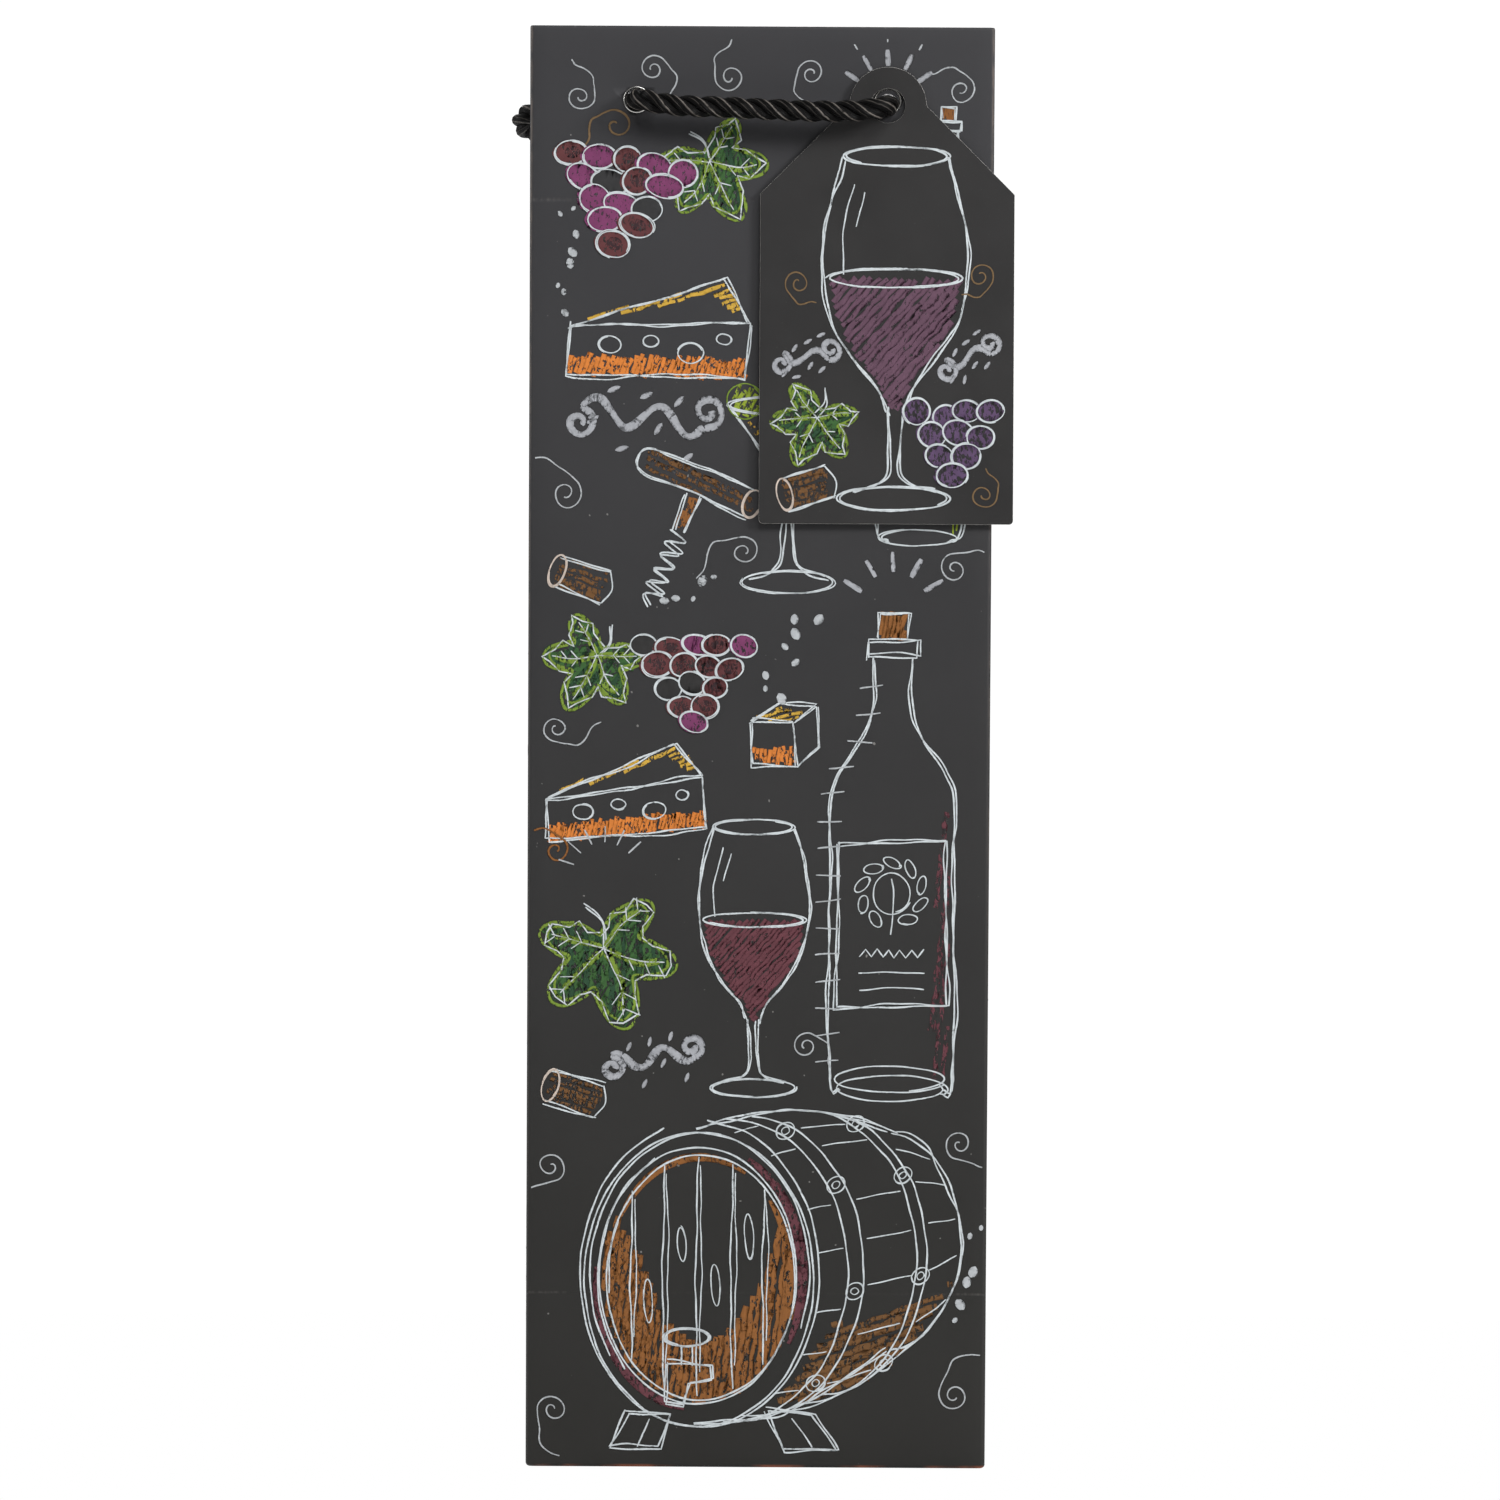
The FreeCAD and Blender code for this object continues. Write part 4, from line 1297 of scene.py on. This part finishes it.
def draw_bottle(pen):
    """A bottle standing up from its foot, its label plain but for a sprig, a zigzag and two rules."""
    pen.rub([(9.6, 3), (14.0, 4), (14.2, 70), (11.6, 70)], WINE, 2.2, 84, 1.6, 0.84)
    pen.rub([(-3.2, 112.6), (3.2, 112.6), (3.4, 119), (-3.4, 119)], BROWN, 1.0, 80, 1.4, 0.55)
    wall = [(12.6, 1.4), (15.2, 4), (15.4, 40), (15.2, 70), (13.2, 79), (7.2, 88), (5.0, 96), (4.8, 108)]
    for side in mirrored(wall):
        pen.line(side, 1.15, passes=2)
    for up in (1.6, 4.0):
        pen.ring(0, up, 13.6, 3.2, 0, 1.0)
    pen.line([(-6, 108), (-6.2, 112.4), (6.2, 112.4), (6, 108), (-6, 108)], 1.1, passes=2, straight=True)
    pen.line([(-3.6, 112.6), (-3.8, 119), (3.8, 119.2), (3.6, 112.6)], 1.0, passes=2, straight=True)
    pen.line([(-13.4, 62), (13.4, 62.6), (13.6, 22), (-13.6, 21.6), (-13.4, 62)], 1.1, passes=2, straight=True)
    draw_sprig(pen, 0, 49)
    pen.line([(-8 + i * 1.45, 34.0 + 1.9 * (i % 2)) for i in range(12)], 0.9, straight=True)
    for up in (30, 26):
        pen.line([(-8, up), (0, up + 0.5), (8, up)], 0.9)
    for i in range(15):
        up = 8 + 6.6 * i
        left = float(np.interp(up, [0, 70, 79, 88, 96, 108], [-15.4, -15.2, -13.2, -7.2, -5, -4.8]))
        pen.line([(left - 3.4, up), (left + 2.6, up + pen.hand.uniform(-0.2, 1.0))], 1.0, CHALK_SOFT)


BARREL_LONG = (45.0, 9.0)
BARREL_FRONT = (28.5, 36.5)
BARREL_BACK = (19.5, 27.0)
BARREL_SWELL = 5.0


def barrel_point(along, degrees):
    """A place on the barrel's side: along its length from 0 at the front, and round it."""
    swell = BARREL_SWELL * math.sin(math.pi * min(along, 1.0))
    wide = BARREL_FRONT[0] + (BARREL_BACK[0] - BARREL_FRONT[0]) * along + swell
    high = BARREL_FRONT[1] + (BARREL_BACK[1] - BARREL_FRONT[1]) * along + swell
    a = math.radians(degrees)
    return (BARREL_LONG[0] * along + wide * math.cos(a), BARREL_LONG[1] * along + high * math.sin(a))


def draw_barrel(pen):
    """A barrel lying on its feet, about the middle of its head; its tap and head boards are to the front."""
    wide, high = BARREL_FRONT[0] - 4.6, BARREL_FRONT[1] - 5.4
    pool = [(wide * math.cos(math.radians(a)), high * math.sin(math.radians(a))) for a in range(150, 391, 12)]
    pool += [(wide * 0.62, -2), (wide * 0.3, -high * 0.42), (0, -high * 0.52)]
    pool += [(-wide * 0.36, -high * 0.36), (-wide * 0.6, 4)]
    pen.rub(pool, BROWN, 1.6, 84, 1.9, 0.68)
    for start, end in ((60, 150), (-28, 40)):
        pen.arc_rub(0, 0, wide - 1.4, high - 1.6, start, end, 2.2, BROWN)
    for start, end in ((-30, 62), (176, 262)):
        pen.arc_rub(0, 0, wide + 1.6, high + 1.8, start, end, 2.8, WINE)
    band = [barrel_point(t, -62) for t in (0.12, 0.4, 0.7, 0.98)]
    band += [barrel_point(t, -20) for t in (0.98, 0.7, 0.4, 0.12)]
    pen.rub(band, UMBER, 1.9, 20, 2.0, 0.72)
    pen.ring(0, 0, *BARREL_FRONT, 0, 1.15, laps=1.3, passes=2)
    pen.ring(0, 0, wide, high, 0, 1.15, laps=1.2, passes=2)
    for along, reach in ((0.16, 92), (0.24, 90), (0.56, 88), (0.64, 87), (1.0, 84)):
        pen.line([barrel_point(along, a) for a in range(-reach, reach + 1, 8)], 1.1, passes=2 if along == 1.0 else 1)
    for degrees in (92, -92):
        pen.line([barrel_point(t, degrees * (1 - 0.06 * t)) for t in (0, 0.2, 0.4, 0.6, 0.8, 1.0)], 1.15, passes=2)
    for degrees in range(-70, 71, 20):
        for start, end in ((0.02, 0.14), (0.27, 0.53), (0.67, 0.96)):
            shift = pen.hand.uniform(-5, 5)
            pen.line([barrel_point(t, degrees + shift) for t in (start, (start + end) / 2, end)], 0.8)
    for along in (0.2, 0.6):
        for degrees in (-48, -8, 34, 66):
            x, y = barrel_point(along, degrees)
            pen.ring(x, y, 2.4, 1.9, 35, 0.8, laps=1.3)
            pen.ring(x, y, 1.0, 0.8, 35, 0.7)
    for across in (-16.5, -8.6, -0.4, 8.2, 16.0):
        top = high * math.sqrt(1 - (across / wide) ** 2) - 1.5
        pen.line([(across, top), (across - 0.5, 0), (across, -top)], 1.05)
        pen.line([(across + 0.4, top - 2), (across + 0.9, 5), (across + 0.5, -top + 6)], 0.8)
    for across, up, tall in ((-12.6, -6, 5.4), (-4.4, 8, 4.2), (4.0, -2, 5.0), (12.2, 10, 5.6)):
        pen.ring(across, up, 1.1, tall, 3, 0.8, laps=1.2)
    pen.ring(-3, -15, 5.6, 2.2, 0, 1.2, laps=1.3, passes=2)
    for across in (-4.4, -1.8):
        pen.line([(across, -17), (across, -22)], 1.1)
    tap = [(-8, -21.5), (3.4, -22), (3.8, -25), (-2, -26), (-4, -31.5), (-8.6, -31), (-8, -21.5)]
    pen.line(tap, 1.15, passes=2, straight=True)
    for foot, lean in ((-13, -1), (22, 1)):
        block = [(foot - 5, -33), (foot + 6, -34), (foot + 8 + 4 * lean, -42.5)]
        block += [(foot - 5 + 4 * lean, -42.5), (foot - 5, -33)]
        pen.line(block, 1.15, passes=2, straight=True)
        pen.line([(foot + 1, -35), (foot + 2 + 4 * lean, -42)], 1.0)


def draw_wedge(pen):
    """A wedge of cheese with a few holes, about the middle of its cut side."""
    pen.rub([(-22, -8), (22, -6), (22, -11), (-22, -13)], ORANGE, 1.1, 74, 1.5, 0.68)
    pen.rub([(-21, 1), (16, 12), (20, 6), (18, 5), (12, 9), (-16, 1)], YELLOW, 1.3, 22, 1.3, 0.72)
    pen.line([(-22, -1), (15, 13), (22, 3), (-22, -1)], 1.1, passes=2, straight=True)
    pen.line([(-22, -1), (-22, -13), (22, -11), (22, 3)], 1.1, passes=2, straight=True)
    for across, up, wide in ((-12, -5, 2.8), (-2, -3.4, 2.0), (8, -5.6, 3.2), (16, -1.6, 1.8)):
        pen.ring(across, up, wide, wide * 0.75, 0, 0.9, laps=1.4)


def draw_cube(pen):
    """A cut cube of cheese."""
    pen.rub([(-6, -7), (5, -8.6), (5, -4), (-6, -2.6)], ORANGE, 1.1, 80, 1.4, 0.7)
    pen.rub([(-5, 4.4), (2, 7), (9, 5), (3, 2.8)], YELLOW, 1.2, 10, 1.2, 0.7)
    pen.line([(-6.4, 3.6), (5, 2.4), (5.2, -8.8), (-6.2, -7.4), (-6.4, 3.6)], 1.05, passes=2, straight=True)
    pen.line([(-6.4, 3.6), (1.4, 8), (11, 6.2), (5, 2.4)], 1.05, passes=2, straight=True)
    pen.line([(11, 6.2), (11, -4), (5.2, -8.8)], 1.05, passes=2, straight=True)


def draw_corkscrew(pen):
    """A corkscrew with a wooden handle, down from the handle."""
    pen.rub([(-16, -3), (16, -3), (16, 3), (-16, 3)], UMBER, 2.4, 4, 1.6, 0.8)
    pen.rub([(-1.6, -4), (1.6, -4), (1.2, -14), (-1.2, -14)], BROWN, 1.0, 84, 1.3, 0.7)
    pen.line([(-15, 3.8), (0, 4.4), (15, 3.4), (18, 0), (15, -3.8), (0, -3.2), (-15, -4)], 1.1, passes=2)
    pen.ring(-15.6, 0, 2.4, 4.0, 0, 1.1, CORK_END, laps=1.6)
    for side in mirrored([(1.9, -4), (1.2, -14.5)]):
        pen.line(side, 1.1, passes=2)
    pen.line([(2.5 * (-1) ** i, -15 - 1.9 * i) for i in range(11)] + [(0, -37)], 1.15, passes=2)


def draw_curl(pen, tail=14.0, turns=1.5, reach=4.4, width=0.95, ink=CHALK_SOFT, grain=0.16):
    """A flourish: a small spiral that runs out into a waving tail."""
    a = np.linspace(0, turns * 2 * math.pi, int(11 * turns))
    far = 0.7 + (reach - 0.7) * a / a[-1]
    spiral = np.column_stack([far * np.cos(a), far * np.sin(a)])
    leave = np.array([-math.sin(a[-1]), math.cos(a[-1])])
    aside = np.array([leave[1], -leave[0]])
    steps = np.linspace(0, 1, 6)[1:]
    run = [spiral[-1] + leave * tail * t + aside * 0.32 * tail * math.sin(5.2 * t) * t for t in steps]
    pen.line(np.vstack([spiral, run]), width, ink, grain=grain)


def draw_flourish(pen, long=44.0, width=1.85):
    """A broad marker wave with a curl at each end and small leaves along it."""
    half = long / 2
    wave = [(x, 3.4 * math.sin(x * 0.36)) for x in np.linspace(-half, half, 15)]
    pen.line(wave, width, MARKER, grain=0.1)
    for side in (-1, 1):
        a = np.linspace(0, 8.2, 13) * side
        far = 4.6 * (1 - np.abs(a) / 10.5)
        x0, y0 = side * half, 3.4 * math.sin(side * half * 0.36)
        hook = np.column_stack([x0 + side * 0.2 + far * np.sin(a) * side, y0 + side * 4.6 - side * far * np.cos(a)])
        pen.line(hook, width * 0.9, MARKER, grain=0.1)
    for i, x in enumerate(np.linspace(-half * 0.8, half * 0.8, 7)):
        up = 3.4 * math.sin(x * 0.36) + (6.0 if i % 2 else -6.0)
        pen.spot(x, up, 1.9, 0.75, MARKER, 0.12, pen.hand.uniform(20, 80))


def draw_curls(pen, tail, size, *curls, **look):
    """Several curls, each given by its place, its turn and whether it is flipped."""
    for across, up, turn, flip in curls:
        draw_curl(pen.moved(across, up, size, turn, flip), tail, **look)


def draw_rays(pen, count, spread, near, far, width=1.1, ink=CHALK_SOFT):
    """Short dashes fanned upwards."""
    for a in np.radians(np.linspace(90 - spread / 2, 90 + spread / 2, count)):
        pen.line([(near * math.cos(a), near * math.sin(a)), (far * math.cos(a), far * math.sin(a))], width, ink)


def draw_dots(pen, count, wide, high):
    """Loose dots scattered over an oblong."""
    for i in range(count):
        across = wide * ((i + pen.hand.uniform(0.1, 0.9)) / count - 0.5)
        size = pen.hand.uniform(0.6, 1.4)
        up, turn = high * pen.hand.uniform(-0.5, 0.5), pen.hand.uniform(-40, 70)
        pen.spot(across, up, size * 1.15, size * 0.85, CHALK_SOFT, 0.12, turn)


def draw_top(pen):
    """The band along the bag's mouth: curls, dashes and a few dots."""
    draw_curls(
        pen, 11, 0.85, (-45, 338, 200, 1), (-27, 345, 20, -1), (-8, 343, 170, -1),
        (12, 344, 10, 1), (49, 340, 250, 1)
    )
    draw_curl(pen.moved(-36, 331, 0.9, 60), 10, 1.2, 4.6, 1.3, TAN, 0.5)
    draw_rays(pen.moved(31, 337), 5, 110, 9, 13, 1.2, MARKER)
    draw_rays(pen.moved(31, 337), 3, 60, 15, 16.6, 1.2)


def draw_upper(pen):
    """Grapes, a leaf and cheese."""
    draw_leaf(pen.moved(-13, 322, 1.0, 28), 15.5)
    draw_grapes(pen.moved(-33, 322, 1.0, -8), 5, bare=BLACK_UNDER_PAINTED_TOP_LIGHT)
    draw_wedge(pen.moved(-25, 281, 1.0, -4))
    draw_dots(pen.moved(-48, 300, 1, 80), 9, 34, 8)


def draw_hidden(pen):
    """What the tag covers while it hangs straight."""
    draw_bottle(pen.moved(46, 274, 0.52))
    draw_cube(pen.moved(10, 309, 1.1, 6))
    draw_cube(pen.moved(25, 301, 1.0, -8))
    draw_cork(pen, (20, 322), (12, 3))
    draw_curl(pen.moved(4, 292, 1.0, 30), 16)
    draw_tumbler(pen.moved(39, 262, 0.9))


def draw_front(pen):
    """The whole front of the bag, from the top down."""
    draw_hidden(pen)
    draw_top(pen)
    draw_upper(pen)
    draw_flourish(pen.moved(-29, 259, 0.9, -8), 34)
    draw_corkscrew(pen.moved(-15, 243, 0.9, -22, -1))
    draw_curl(pen.moved(-48, 240, 1.0, 250), 20)
    draw_cork(pen, (-50, 221), (12, -4), UMBER)
    draw_cocktail(pen.moved(7, 262, 1.0))
    draw_curls(pen, 15, 0.9, (-4, 226, 300, 1), (48, 222, 80, -1))
    draw_dots(pen.moved(-17, 216, 1, 24), 5, 16, 5)
    draw_rays(pen.moved(33, 212), 5, 120, 9, 14, 1.2, MARKER)
    draw_bottle(pen.moved(33, 92, 1.0))
    draw_leaf(pen.moved(-40, 200, 1.0, -30), 14.5)
    draw_grapes(pen.moved(-16, 202, 0.86), 5)
    draw_wedge(pen.moved(-33, 166.5, 0.88, 3))
    draw_cube(pen.moved(4, 181, 0.95, 4))
    draw_dots(pen.moved(7, 200, 1, 70), 8, 26, 8)
    draw_curl(pen.moved(-50, 182, 0.8, 100), 14)
    draw_glass(pen.moved(-1, 158, 0.74), stem=22)
    draw_curl(pen.moved(12, 104, 0.8, 40, -1), 10)
    draw_curl(pen.moved(-50, 152, 0.8, 330), 13, 1.3, 4.4, 1.3, BROWN, 0.5)
    draw_leaf(pen.moved(-38, 128, 1.0, 16), 20.0, twigs=3)
    draw_rays(pen.moved(-38, 146, 1, 12), 6, 120, 8, 12, 1.0)
    draw_barrel(pen.moved(-14, 47))
    draw_cork(pen, (-51, 94), (12, -4), UMBER)
    draw_flourish(pen.moved(-26, 101, 0.66, 8), 30)
    draw_curls(pen, 18, 0.9, (50, 80, 90, 1), (49, 18, 140, -1), (-50, 14, 20, 1), (-51, 74, 270, -1))
    draw_dots(pen.moved(52, 48, 1, 80), 6, 30, 3)


def draw_side(pen):
    """A gusset: the same things in another order."""
    draw_rays(pen.moved(0, 330), 6, 80, 14, 19, 1.15, MARKER)
    draw_curls(
        pen, 16, 0.9, (-32, 336, 200, 1), (31, 334, 330, -1), (36, 206, 90, 1),
        (-36, 120, 260, -1), (34, 110, 80, 1)
    )
    draw_leaf(pen.moved(20, 318, 1.0, 24), 14.5)
    draw_grapes(pen.moved(-6, 318), 5, bare=BLACK_UNDER_PAINTED_TOP_LIGHT)
    draw_wedge(pen.moved(4, 276, 1.0, 4))
    draw_corkscrew(pen.moved(-20, 252, 0.9, 24))
    draw_flourish(pen.moved(20, 246, 0.85, 8), 30)
    draw_cork(pen, (12, 226), (13, 4))
    draw_bottle(pen.moved(-19, 88, 1.0))
    draw_glass(pen.moved(20, 190, 0.76), stem=24)
    draw_cube(pen.moved(20, 210, 0.9, -6))
    draw_leaf(pen.moved(22, 103, 0.8, -12), 16.0)
    draw_barrel(pen.moved(-10, 42, 0.82))
    draw_dots(pen.moved(36, 160, 1, 80), 8, 40, 4)
    draw_dots(pen.moved(-36, 216, 1, 80), 8, 36, 4)


def draw_tag(pen):
    """The tag's face, in millimetres from the middle of its hole."""
    draw_leaf(pen.moved(-17, -77, 1.0, -24), 12.5, 1)
    draw_glass(pen.moved(2, -12.5, 0.97), MAUVE, 22.0, width=1.2)
    draw_grapes(pen.moved(17, -76, 0.92), 4, "t", TAG_BLACK, 0.8)
    draw_cork(pen, (-25, -96), (11, 3), UMBER, 0.95)
    for side in (-1, 1):
        draw_flourish(pen.moved(side * 20, -62, 0.62, side * 8), 18, 1.5)
    draw_curls(pen, 8, 0.8, (-22, -44, 60, 1), (23, -42, 300, -1), (24, -96, 190, 1), ink=TAN, grain=0.4)


# ---------------------------------------------------------------- putting the drawing on the paper


def make_chalk_tree():
    """Strokes on a surface: each line gets its own width, then is pressed flat onto what lies under it."""
    tree, build, given = new_tree(
        "chalk_strokes",
        [
            ("Surface", "NodeSocketObject", None),
            ("Outward", "NodeSocketVector", None),
            ("Relief", "NodeSocketFloat", STROKE_RELIEF),
        ],
    )
    line = build.add("GeometryNodeMeshToCurve", None, {0: given["Geometry"]})["Curve"]
    line = build.add("GeometryNodeSetCurveNormal", {"mode": "FREE"}, {"Curve": line, "Normal": given["Outward"]})["Curve"]
    half = build.add("GeometryNodeInputNamedAttribute", {"data_type": "FLOAT"}, {"Name": "half_width"})["Attribute"]
    profile = build.add("GeometryNodeCurvePrimitiveCircle", None, {"Resolution": 3, "Radius": 1.155})["Curve"]
    ribbon = build.add(
        "GeometryNodeCurveToMesh", None, {"Curve": line, "Profile Curve": profile, "Scale": half, "Fill Caps": True}
    )["Mesh"]
    here = build.add("GeometryNodeInputPosition")["Position"]
    height = vector_math(build, "DOT_PRODUCT", here, given["Outward"])
    flat = vector_math(build, "SUBTRACT", here, vector_math(build, "SCALE", given["Outward"], scale=height))
    above = vector_math(build, "ADD", flat, vector_math(build, "SCALE", given["Outward"], scale=0.12))
    inward = vector_math(build, "SCALE", given["Outward"], scale=-1.0)
    under = build.add("GeometryNodeObjectInfo", None, {"Object": given["Surface"]})["Geometry"]
    hit = build.add(
        "GeometryNodeRaycast",
        None,
        {"Target Geometry": under, "Source Position": above, "Ray Direction": inward, "Ray Length": 0.3},
    )
    lift = build.add("GeometryNodeInputNamedAttribute", {"data_type": "FLOAT"}, {"Name": "lift"})["Attribute"]
    raised = lift + height / (half + 0.000001) * given["Relief"]
    lying = vector_math(build, "ADD", hit["Hit Position"], vector_math(build, "SCALE", given["Outward"], scale=raised))
    pressed = build.add("GeometryNodeSetPosition", None, {"Geometry": ribbon, "Position": lying})["Geometry"]
    flat_shaded = build.add("GeometryNodeSetShadeSmooth", None, {0: pressed, "Shade Smooth": False})["Geometry"]
    end_tree(build, flat_shaded, CHALK)
    return tree


def print_on(name, pen, surface, outward, right, origin):
    """Prints a pen's strokes on a face: origin is where its millimetres start, right is which way they run across."""
    outward, right, origin = np.array(outward, float), np.array(right, float), np.array(origin, float)
    origin = origin - outward * (origin @ outward)
    points, edges, halves, inks, lifts = [], [], [], [], []
    for order, (path, half, ink, grain, lift) in enumerate(pen.strokes):
        first = len(points)
        for u, v in path:
            points.append(origin + right * (u * MM) + np.array([0, 0, v * MM]))
        edges += [(first + i, first + i + 1) for i in range(len(path) - 1)]
        halves += list(np.broadcast_to(half, len(path)) * MM)
        inks += [(*ink[:3], grain)] * len(path)
        lifts += [lift + order * STACK_STEP] * len(path)
    mesh = bpy.data.meshes.new(name)
    mesh.from_pydata([tuple(p) for p in points], edges, [])
    mesh.attributes.new("half_width", "FLOAT", "POINT").data.foreach_set("value", halves)
    mesh.attributes.new("lift", "FLOAT", "POINT").data.foreach_set("value", lifts)
    mesh.attributes.new("ink", "FLOAT_COLOR", "POINT").data.foreach_set("color", np.array(inks).ravel())
    piece = run_tree(add_object(name + "_lines", mesh), CHALK_TREE, name, Surface=surface, Outward=tuple(outward))
    drop_attributes(piece, ("ink",))
    return piece


# ---------------------------------------------------------------- the room

CAMERA_ROLL = -0.31
CAMERA_ACROSS = -2.2 * MM
CAMERA_UP = 177.0 * MM
ROOM_LIGHT = 0.25
FLOOR_RADIUS = 0.75


def make_floor():
    build = bmesh.new()
    bmesh.ops.create_circle(build, cap_ends=True, segments=96, radius=FLOOR_RADIUS)
    mesh = bpy.data.meshes.new("floor")
    build.to_mesh(mesh)
    build.free()
    mesh.transform(Matrix.Translation((0, 0, -0.0004)))
    floor = add_object("floor", mesh, make_pale_floor())


def add_light(name, place, aim, size, power, colour=(1.0, 1.0, 1.0)):
    lamp = bpy.data.lights.new(name, "AREA")
    lamp.shape, lamp.size, lamp.size_y = "RECTANGLE", size[0], size[1]
    lamp.energy, lamp.color = power, colour
    light = bpy.data.objects.new(name, lamp)
    bpy.context.scene.collection.objects.link(light)
    light.location = place
    light.rotation_euler = (Vector(aim) - Vector(place)).to_track_quat("-Z", "Y").to_euler()


def light_room():
    """A white room for the camera that lights softly; a key from the upper right, fill from the left."""
    world = bpy.data.worlds.new("studio")
    bpy.context.scene.world = world
    world.use_nodes = True
    nodes, links = world.node_tree.nodes, world.node_tree.links
    nodes.clear()
    seen, lighting = nodes.new("ShaderNodeBackground"), nodes.new("ShaderNodeBackground")
    seen.inputs["Color"].default_value = lighting.inputs["Color"].default_value = (1.0, 1.0, 1.0, 1.0)
    seen.inputs["Strength"].default_value = 1.05
    lighting.inputs["Strength"].default_value = ROOM_LIGHT
    path, mix, out = (nodes.new(f"ShaderNode{kind}") for kind in ("LightPath", "MixShader", "OutputWorld"))
    links.new(path.outputs["Is Camera Ray"], mix.inputs["Fac"])
    links.new(lighting.outputs["Background"], mix.inputs[1])
    links.new(seen.outputs["Background"], mix.inputs[2])
    links.new(mix.outputs["Shader"], out.inputs["Surface"])
    middle = (0, 0, BAG_HEIGHT * 0.55)
    add_light("overhead_box", (0.35, -0.95, 1.2), (0, 0, BAG_HEIGHT), (0.9, 0.5), 10.5)
    add_light("key_box", (1.35, -0.85, 0.95), (0, 0, BAG_HEIGHT), (0.45, 0.45), 23)
    add_light("left_box", (-1.8, 0.1, 0.9), middle, (1.2, 1.2), 26)
    add_light("back_box", (0.3, 1.9, 1.0), middle, (1.6, 1.2), 38)


def place_camera():
    """A long lens square to the front, about level with the bag's middle."""
    distance = 2.8
    seen_width = 0.3701
    eye = bpy.data.cameras.new("camera")
    eye.sensor_width = 36.0
    eye.lens = 36.0 * distance / seen_width
    eye.clip_start, eye.clip_end = 0.05, 40.0
    camera = bpy.data.objects.new("camera", eye)
    bpy.context.scene.collection.objects.link(camera)
    camera.location = (CAMERA_ACROSS, -(HALF_DEPTH + distance), CAMERA_UP)
    camera.rotation_euler = (math.radians(90), math.radians(CAMERA_ROLL), 0)
    bpy.context.scene.camera = camera
    bpy.context.scene.view_settings.view_transform = "Standard"


# ---------------------------------------------------------------- the bag, piece by piece


def fit(piece, body, slot, *nodes):
    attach(piece, body)
    if nodes:
        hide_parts(*nodes)
    return piece


place_camera()
light_room()
make_floor()

ROPE_TREE = make_rope_tree()
CHALK_TREE = make_chalk_tree()

front_rope = make_handle("front_handle_rope", FRONT_ROUTE, -1, ("front_left_knot", "front_right_knot"))
fit(front_rope, "bag", "satin_rope", "front_handle_cord")

back_rope = make_handle("back_handle_rope", BACK_ROUTE, 1, ("back_left_knot", "back_right_knot"))
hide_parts("back_left_tail", "back_handle_loop", "back_right_tail")
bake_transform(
    back_rope,
    "bag",
    "back_handle",
    start=(0, HALF_DEPTH + 0.1 * MM, EYELET_UP),
    end=(0, HALF_DEPTH + 6.5 * MM, EYELET_UP),
)

sleeve = make_sleeve()
WALLS = ("front_panel", "back_panel", "left_gusset", "right_gusset", "side_glue_flap")
HEMS = ("front_hem", "back_hem", "left_hem", "right_hem")
fit(sleeve, "bag", "printed_paper", *WALLS, *HEMS)
BOTTOM_FLAPS = ("back_bottom_flap", "front_bottom_flap", "left_tuck_flap", "right_tuck_flap")
fit(make_bottom_flaps(), "bag", "printed_paper", *BOTTOM_FLAPS)

for row, face in (("front", -1), ("back", 1)):
    for hand, side in (("left", -1), ("right", 1)):
        node = f"{row}_{hand}_eyelet"
        fit(make_eyelet(node + "_ring", side, face), "bag", "eyelet_metal", node)
    board = frame["nodes"][f"{row}_top_board"]
    board.data.materials.clear()
    board.data.materials.append(BOARD)

fit(carded("bottom_board_card", "bottom_board", 0.25 * MM, BOARD), "bottom_card", "grey_board", "bottom_board")

tag = carded("gift_tag_card", "tag_card", 0.07 * MM, TAG_STOCK, WHITE_SIDE)
for polygon in tag.data.polygons:
    polygon.material_index = 0 if polygon.normal.y < -0.9 else 1
fit(tag, "tag", "tag_card", "tag_card")

tag_pen = Pen(11, TAG_AREA)
draw_tag(tag_pen)
tag_print = print_on("tag_print", tag_pen, tag, (0, -1, 0), (1, 0, 0), (TAG_MIDDLE, 0, TAG_HOLE_UP))
fit(tag_print, "tag", "tag_card")

front_pen = Pen(5, FRONT_AREA)
draw_front(front_pen)
fit(print_on("front_print", front_pen, sleeve, (0, -1, 0), (1, 0, 0), (0, 0, 0)), "bag", "printed_paper")

back_pen = Pen(8, FRONT_AREA)
draw_front(back_pen)
fit(print_on("back_print", back_pen, sleeve, (0, 1, 0), (-1, 0, 0), (0, 0, 0)), "bag", "printed_paper")
SIDES = (("left_print", 21, (-1, 0, 0), (0, -1, 0)), ("right_print", 22, (1, 0, 0), (0, 1, 0)))
for name, seed, outward, right in SIDES:
    side_pen = Pen(seed, SIDE_AREA)
    draw_side(side_pen)
    fit(print_on(name, side_pen, sleeve, outward, right, (0, 0, 0)), "bag", "printed_paper")
